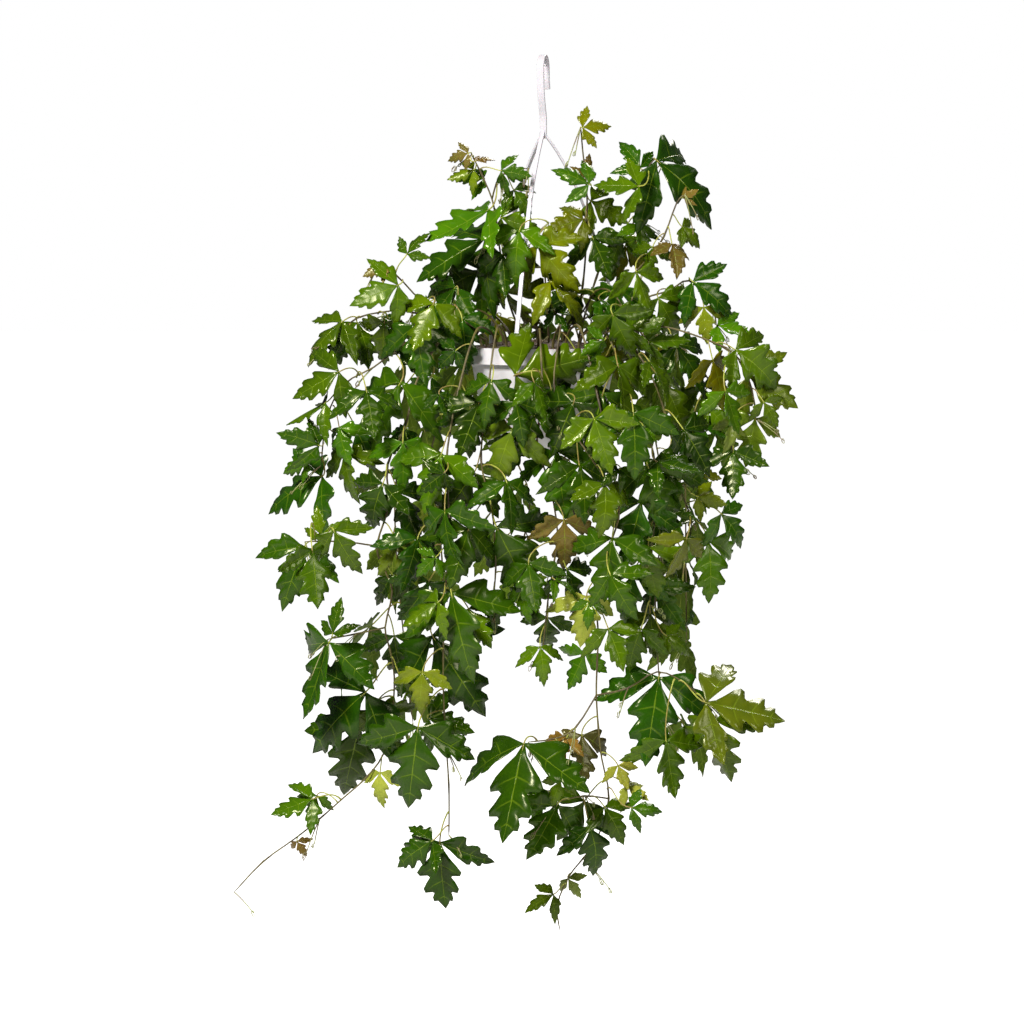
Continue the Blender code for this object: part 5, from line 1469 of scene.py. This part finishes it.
def side_turn(way, spot):
    """A side leaflet points out to its side. way is 1 on the right and -1 on the left."""
    ahead = Vector((math.sin(LATERAL_TURN), math.cos(LATERAL_TURN)))
    away = Vector((math.cos(LATERAL_TURN), -math.sin(LATERAL_TURN)))
    flat = ahead * spot.y + away * (spot.x * way)
    return Vector((flat.x * way, flat.y))


def add_leaf(bm, leaf, draw):
    """Adds a leaf's three leaflets, each a little different in tone."""
    base = Vector(TONES[leaf.tone])
    parts = [((END_ROWS, END_ROWS), end_turn, 1.0),
             ((OUTER_ROWS, INNER_ROWS), partial(side_turn, 1.0), LATERAL_SIZE),
             ((INNER_ROWS, OUTER_ROWS), partial(side_turn, -1.0), LATERAL_SIZE)]
    leaf_tint = draw.uniform(0.62, 1.35)
    warm = draw.uniform(0.85, 1.5)
    share = draw.uniform(*PLAIN_SHARES[leaf.kind])
    for rows, turned, size in parts:
        tint = leaf_tint * draw.uniform(0.9, 1.1)
        colour = (base.x * tint * warm, base.y * tint, base.z * tint / warm)
        add_leaflet(bm, leaf, rows, turned, size, colour, share, draw)


# %% Growing the blades of every vine
BLADE = 0.0006


def make_blades(name):
    """All blades of a vine as one piece, given their thickness by Solidify, with the pale finish below."""
    bm = bmesh.new()
    bm.loops.layers.uv.new("blade")
    bm.loops.layers.float_color.new("tone")
    for k, leaf in enumerate(leaves[name]):
        add_leaf(bm, leaf, random.Random(f"{name} blade {k}"))
    bmesh.ops.remove_doubles(bm, verts=bm.verts, dist=1e-6)
    piece = piece_of(f"{name}_leaves", bm, (upper_leaf, lower_leaf))
    skin = piece.modifiers.new("thickness", "SOLIDIFY")
    skin.thickness = BLADE
    skin.offset = 0.0
    skin.material_offset = 1
    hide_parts(name)


for name in stems:
    make_blades(name)
print("leaves in all:", sum(len(found) for found in leaves.values()))

# %% [markdown]
# ## Stems and petioles
#
# The stems are thin and brown, and swell at joints set at even steps along them. A petiole is a finer stalk
# that leaves the stem upwards, arches over and comes in along the end leaflet. Both are rings pushed
# along their paths.

# %% Growing the stems
FINE_SIDES = 7
PETIOLE_SIDES = 5
SWELL = 1.35
JOINT_EVERY = 6
TRUNK_SHARE = 0.66  # of the solid stem's radius, which is that of its corners
BRANCH_SHARE = 0.75
TIP_SHARE = 0.6
END_SHARE = 0.3
PETIOLE_SHARE = 0.95
PETIOLE_BASE = 1.5
PETIOLULE = 0.10


def swollen_radii(path, first, last):
    """A stem's radius along a fine path, with a swollen joint at even steps."""
    radii = []
    for k in range(len(path)):
        plain = first + (last - first) * k / (len(path) - 1)
        radii.append(plain * (SWELL if k % JOINT_EVERY == JOINT_EVERY // 2 else 1.0))
    return radii


def make_stalks(name, paths):
    """A vine's stem, branches and petioles as one piece."""
    bm = bmesh.new()
    for number, path in enumerate(paths):
        fine = curved(path, 3)
        first = STEM_FOOT_RADIUS * TRUNK_SHARE if number == 0 else STEM_TIP_RADIUS * BRANCH_SHARE
        radii = swollen_radii(fine, first, STEM_TIP_RADIUS * TIP_SHARE)
        radii[-1] = STEM_TIP_RADIUS * END_SHARE
        swept(bm, tube_stations(fine, radii), FINE_SIDES)
    woody = len(bm.faces)
    for leaf in leaves[name]:
        half = PETIOLE_HALF[leaf.kind] * PETIOLE_SHARE
        thicker = PETIOLE_BASE - 1.0
        radii = [half * (PETIOLE_BASE - thicker * min(k / 2.0, 1.0)) for k in range(len(leaf.petiole))]
        path = leaf.petiole + [leaf.junction + leaf.along * (leaf.length * PETIOLULE) - leaf.face * BLADE]
        swept(bm, tube_stations(path, radii + [half * 0.5]), PETIOLE_SIDES)
    bm.faces.ensure_lookup_table()
    for face in bm.faces[woody:]:
        face.material_index = 1
    piece = piece_of(f"{name}_stalks", bm, (stem_finish, petiole_finish))
    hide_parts(name)
    return piece


stalks = [make_stalks(name, paths) for name, paths in stems.items()]
print("faces in stalks:", sum(len(piece.data.polygons) for piece in stalks))

# %% [markdown]
# ## Tendrils
#
# This plant climbs by forked tendrils that come off the stem opposite a leaf. On a hanging plant they
# find nothing to hold and curl up. Each is a fine tube whose path runs out, sags and ends in a shrinking
# coil.

# %% Curling the tendrils
TENDRIL_RADIUS = 0.0006
TENDRIL_SIDES = 4
TENDRIL_POINTS = 26
TENDRIL_LENGTHS = (0.018, 0.045)
COIL_RADII = (0.002, 0.005)
COIL_TURNS = (1.2, 2.3)
COIL_FROM = 0.55
COIL_SHARE = 0.45
COIL_WIDTH = 0.003
RUN_SHARE = 0.6


def tendril_path(start, ahead, length, coil, draw):
    """A path that runs out from a stem and winds up."""
    side = ahead.cross(UP).normalized()
    path = []
    turn = draw.uniform(*COIL_TURNS) * math.tau * draw.choice((-1.0, 1.0))
    for k in range(TENDRIL_POINTS):
        t = k / (TENDRIL_POINTS - 1)
        run = min(t, RUN_SHARE)
        out = ahead * (length * run / RUN_SHARE) - UP * (length * 0.5 * run ** 2)
        wound = max(t - COIL_FROM, 0.0) / COIL_SHARE
        angle = turn * wound
        radius = coil * (1.0 - 0.55 * wound) * min(wound * 5.0, 1.0)
        spoke = ahead * math.cos(angle) + UP * math.sin(angle)
        path.append(start + out + spoke * radius + side * (COIL_WIDTH * wound))
    return path


def make_tendrils():
    """Two forked tendrils near the end of every stem and branch, where they stay within the solids' box."""
    low, high = frame_box
    bm = bmesh.new()
    count = 0
    for name, paths in stems.items():
        for number, path in enumerate(paths):
            draw = random.Random(f"{name} tendril {number}")
            for back in (1, 3):
                start = path[max(len(path) - 1 - back, 1)] if back > 1 else path[-1]
                outward = Vector((start.x, start.y, 0.0)).normalized()
                aside = Vector((draw.uniform(-1, 1), draw.uniform(-0.6, 0.2), -0.7))
                ahead = (outward * 0.5 + aside).normalized()
                length = draw.uniform(*TENDRIL_LENGTHS)
                for fork in range(2):
                    bend = Vector([draw.uniform(-0.35, 0.35) for _ in range(3)]) * fork
                    coil = draw.uniform(*COIL_RADII)
                    reach = length * (1.0 - 0.3 * fork)
                    route = tendril_path(start, (ahead + bend).normalized(), reach, coil, draw)
                    if all(all(low[i] < p[i] < high[i] for i in range(3)) for p in route):
                        taper = [1.2 - 0.6 * k / TENDRIL_POINTS for k in range(TENDRIL_POINTS)]
                        radii = [TENDRIL_RADIUS * share for share in taper]
                        swept(bm, tube_stations(route, radii), TENDRIL_SIDES)
                        count += 1
    print("tendrils:", count)
    piece_of("tendrils", bm, (tendril_finish,))


make_tendrils()

# %% [markdown]
# ## The hanger
#
# The real hanger is one moulding: a flat strap bent to a hook, a neck, and three arms that end in tabs
# clipped over the pot's rim. The solid has few corners in its bends, so here the strap is pushed along a
# finer path with the same places, and a Bevel modifier rounds the edges as a mould does.


# %% Straps along the hook and the arms
EDGE_WIDTH = 0.0004
EDGE_ANGLE = math.radians(50.0)
TOOTH_FIRST = 20.0
TOOTH_STEP = 18.0


def strap_station(point, across, through):
    """A station of a flat strap. The ring of four corners is turned so that its sides lie flat."""
    square = Matrix.Rotation(math.pi / 4, 4, "Z") @ Matrix.Scale(math.sqrt(2.0), 4)
    return station_at(point, across, through) @ square


def strap(bm, points, across, half_width, half_thick):
    """A flat strap of one width along a path."""
    stations = []
    for point, (ahead, _, _) in zip(points, frames_along(points, across)):
        stations.append(strap_station(point, across * half_width, across.cross(ahead) * half_thick))
    swept(bm, stations, 4)


def make_fine_hanger():
    """Hook, teeth, arms, tabs and lips, with rounded edges."""
    bm = bmesh.new()
    inward = Vector((math.sin(HOOK_TURN), math.cos(HOOK_TURN), 0.0))
    broad = Vector((math.cos(HOOK_TURN), -math.sin(HOOK_TURN), 0.0))
    points = curved([inward * s + UP * z for s, z in hook_path()], 3)
    strap(bm, points, broad, STRAP_WIDTH / 2, STRAP_THICK / 2)
    for k in range(TOOTH_COUNT):
        turn = math.radians(TOOTH_FIRST + TOOTH_STEP * k)
        outward = inward * math.cos(turn) + UP * math.sin(turn)
        crest = UP * -HOOK_INNER_RADIUS + outward * (HOOK_INNER_RADIUS - TOOTH / 2)
        root = UP * -HOOK_INNER_RADIUS + outward * (HOOK_INNER_RADIUS + STRAP_THICK / 3)
        tangent = broad.cross(outward)
        swept(bm, [strap_station(crest, broad * (STRAP_WIDTH * 0.3), tangent * (TOOTH * 0.2)),
                   strap_station(root, broad * (STRAP_WIDTH * 0.3), tangent * (TOOTH * 0.7))], 4)
    middle = RIM_RADIUS + GAP + TAB_THICK / 2
    band_low = RIM_Z - BAND_HEIGHT
    for azimuth in ARM_AZIMUTHS:
        outward = around(azimuth, 1.0, 0.0)
        across = UP.cross(outward)
        strap(bm, curved(arm_path(azimuth), 3), across, ARM_WIDTH / 2, ARM_THICK / 2)
        tab = []
        for radius, z, half in ((middle + 0.0012, RIM_Z + TAB_RISE + 0.002, ARM_WIDTH / 2 + 0.0003),
                                (middle + 0.0004, RIM_Z + TAB_RISE * 0.5, TAB_WIDTH / 2),
                                (middle, RIM_Z - BAND_HEIGHT * 0.5, TAB_WIDTH / 2),
                                (middle, band_low - GAP - TAB_LIP, ARM_WIDTH / 2)):
            tab.append(strap_station(around(azimuth, radius, z), across * half, outward * (TAB_THICK / 2)))
        swept(bm, tab, 4)
        lip_z = band_low - GAP - TAB_LIP / 2
        lip_across = across * (ARM_WIDTH / 2 - 0.0004)
        lip = [strap_station(around(azimuth, radius, lip_z), lip_across, UP * (TAB_LIP / 2 - 0.0001))
               for radius in (middle - TAB_LIP - TAB_THICK / 2, middle)]
        swept(bm, lip, 4)
    piece = piece_of("hanger_moulding", bm, (hanger_finish_painted_shade,))
    edge = piece.modifiers.new("rounded_edges", "BEVEL")
    edge.affect = "EDGES"
    edge.profile = 0.5
    edge.material = -1
    edge.width = EDGE_WIDTH
    edge.segments = 2
    edge.limit_method = "ANGLE"
    edge.angle_limit = EDGE_ANGLE
    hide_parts("hanger")
    return piece


hanger_piece = make_fine_hanger()
print("hanger faces:", len(hanger_piece.data.polygons))

# %% [markdown]
# ## The pot
#
# The pot is thin moulded plastic with a deep band round its rim. A lathe would be the usual way, but the
# solid also has drain holes, so a merged copy of it is kept: its wall is shaded smooth and its real edges
# stay crisp.


# %% Smoothing the pot
def make_fine_pot():
    """A merged copy of the solid pot, smooth round its wall and crisp at its edges."""
    bm = bmesh.new()
    bm.from_mesh(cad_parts["pot"].data)
    bmesh.ops.remove_doubles(bm, verts=bm.verts, dist=1e-5)
    bmesh.ops.dissolve_limit(bm, angle_limit=math.radians(0.5), verts=bm.verts, edges=bm.edges)
    piece = piece_of("pot_shell", bm, (pot_finish,))
    piece.data.set_sharp_from_angle(angle=math.radians(32.0))
    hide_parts("pot")
    return piece


pot_piece = make_fine_pot()
print("pot faces:", len(pot_piece.data.polygons))

# %% [markdown]
# ## The potting mix
#
# Only small glimpses of the mix show between the stems. The solid keeps its shape and gets a damp, clumpy
# finish, and crumbs of bark and a few grains of white grit lie on it.

# %% Crumbs on the mix
CRUMB_COUNT = 260
CRUMB_TONES = ((0.060, 0.034, 0.018), (0.105, 0.062, 0.032), (0.035, 0.022, 0.014))
GRIT_TONE = (0.42, 0.40, 0.36)
BARK_SHARE = 0.9
CRUMB_SIZES = ((0.0008, 0.0030), (0.0008, 0.0022), (0.0006, 0.0014))
STEM_ROOM = 0.005

mix_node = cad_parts["soil"]
if not mix_node.material_slots:
    mix_node.data.materials.append(mix_material)
for part_slot in mix_node.material_slots:
    part_slot.material = mix_material


def make_crumbs():
    """Small lumps scattered over the mix, clear of the stems and the pot's wall."""
    bm = bmesh.new()
    tone_layer = bm.loops.layers.float_color.new("tone")
    draw = random.Random("crumbs")
    reach = RIM_RADIUS - BAND_STEP - WALL - 0.004
    feet = [Vector((paths[0][0].x, paths[0][0].y)) for paths in stems.values()]
    for _ in range(CRUMB_COUNT):
        azimuth = draw.uniform(0.0, math.tau)
        radius = reach * math.sqrt(draw.random())
        place = around(azimuth, radius, soil_z(radius))
        if any((Vector((place.x, place.y)) - foot).length < STEM_ROOM for foot in feet):
            continue
        lengths = [draw.uniform(*sizes) for sizes in CRUMB_SIZES]
        spin = Matrix.Rotation(draw.uniform(0.0, math.tau), 4, "Z")
        tilt = Matrix.Rotation(draw.uniform(-0.5, 0.5), 4, "X")
        place = Matrix.Translation(place) @ spin @ tilt @ Matrix.Diagonal((*lengths, 1.0))
        made = bmesh.ops.create_icosphere(bm, subdivisions=1, radius=1.0, matrix=place)
        colour = draw.choice(CRUMB_TONES) if draw.random() < BARK_SHARE else GRIT_TONE
        for face in {face for vertex in made["verts"] for face in vertex.link_faces}:
            for loop in face.loops:
                loop[tone_layer] = (*colour, 1.0)
    print("crumb faces:", len(bm.faces))
    piece_of("mix_crumbs", bm, (crumb_material,))


make_crumbs()

# %% [markdown]
# ## Floor, light and camera
#
# The plant hangs, so the floor lies well below it. The background and the light are those of a plain pale
# studio, and the camera stands where the places in the table are seen from, with a long lens.

# %% Studio
FLOOR_Z = frame_box[0][2] - 0.35
FLOOR_SIZE = 30.0
FLOOR_COLOUR = (0.7, 0.7, 0.7, 1.0)
FLOOR_ROUGHNESS = 0.9
WHITE = (1.0, 1.0, 1.0, 1.0)
WORLD_GLOW = 0.05  # what the world lights the plant with; the camera sees it at 1
LIGHT_COLOUR = (1.0, 0.96, 0.88)
LIGHTS = (  # name, place, size, power
    ("key", (-1.5, -2.4, 1.7), 0.8, 215.0),
    ("fill", (2.4, -2.2, 0.6), 1.3, 52.0),
    ("rim", (0.8, 2.2, 1.6), 1.2, 80.0),
)
SIGHT = Vector((-0.0341, 0.0, -0.4972))
FRAME_WIDTH = 1.1264
SENSOR = 36.0


def make_floor():
    """A plain pale floor, which shows white to the camera and doesn't light the plant by its own glow."""
    bm = bmesh.new()
    low_down = Matrix.Translation((0, 0, FLOOR_Z))
    bmesh.ops.create_grid(bm, x_segments=1, y_segments=1, size=FLOOR_SIZE, matrix=low_down)
    mesh = bpy.data.meshes.new("floor")
    bm.to_mesh(mesh)
    bm.free()
    floor = bpy.data.objects.new("floor", mesh)
    bpy.context.scene.collection.objects.link(floor)
    made = Finish("pale_floor")
    made.shader.inputs["Emission Color"].default_value = WHITE
    from_camera = made.nodes.new("ShaderNodeLightPath").outputs["Is Camera Ray"]
    made.put(made.shader.inputs["Emission Strength"], from_camera)
    mesh.materials.append(made.done(FLOOR_COLOUR, FLOOR_ROUGHNESS))


def make_light(name, place, size, power):
    """A square soft light aimed at the middle of the plant."""
    data = bpy.data.lights.new(name, "AREA")
    data.size = size
    data.energy = power
    data.color = LIGHT_COLOUR
    light = bpy.data.objects.new(name, data)
    bpy.context.scene.collection.objects.link(light)
    light.location = place
    light.rotation_euler = (SIGHT - Vector(place)).to_track_quat("-Z", "Y").to_euler()


make_floor()
for light_row in LIGHTS:
    make_light(*light_row)

world = bpy.data.worlds.new("studio")
world.use_nodes = True
ray = world.node_tree.nodes.new("ShaderNodeLightPath")
strength = world.node_tree.nodes.new("ShaderNodeMapRange")
strength.inputs["To Min"].default_value = WORLD_GLOW
background = world.node_tree.nodes["Background"]
background.inputs["Color"].default_value = WHITE
world.node_tree.links.new(ray.outputs["Is Camera Ray"], strength.inputs["Value"])
world.node_tree.links.new(strength.outputs["Result"], background.inputs["Strength"])
bpy.context.scene.world = world
bpy.context.scene.view_settings.view_transform = "Standard"

camera_data = bpy.data.cameras.new("camera")
camera_data.sensor_width = SENSOR
camera_data.lens = SENSOR * (SIGHT - EYE).length / FRAME_WIDTH
camera = bpy.data.objects.new("camera", camera_data)
camera.location = EYE
camera.rotation_euler = (SIGHT - EYE).to_track_quat("-Z", "Y").to_euler()
bpy.context.scene.collection.objects.link(camera)
bpy.context.scene.camera = camera
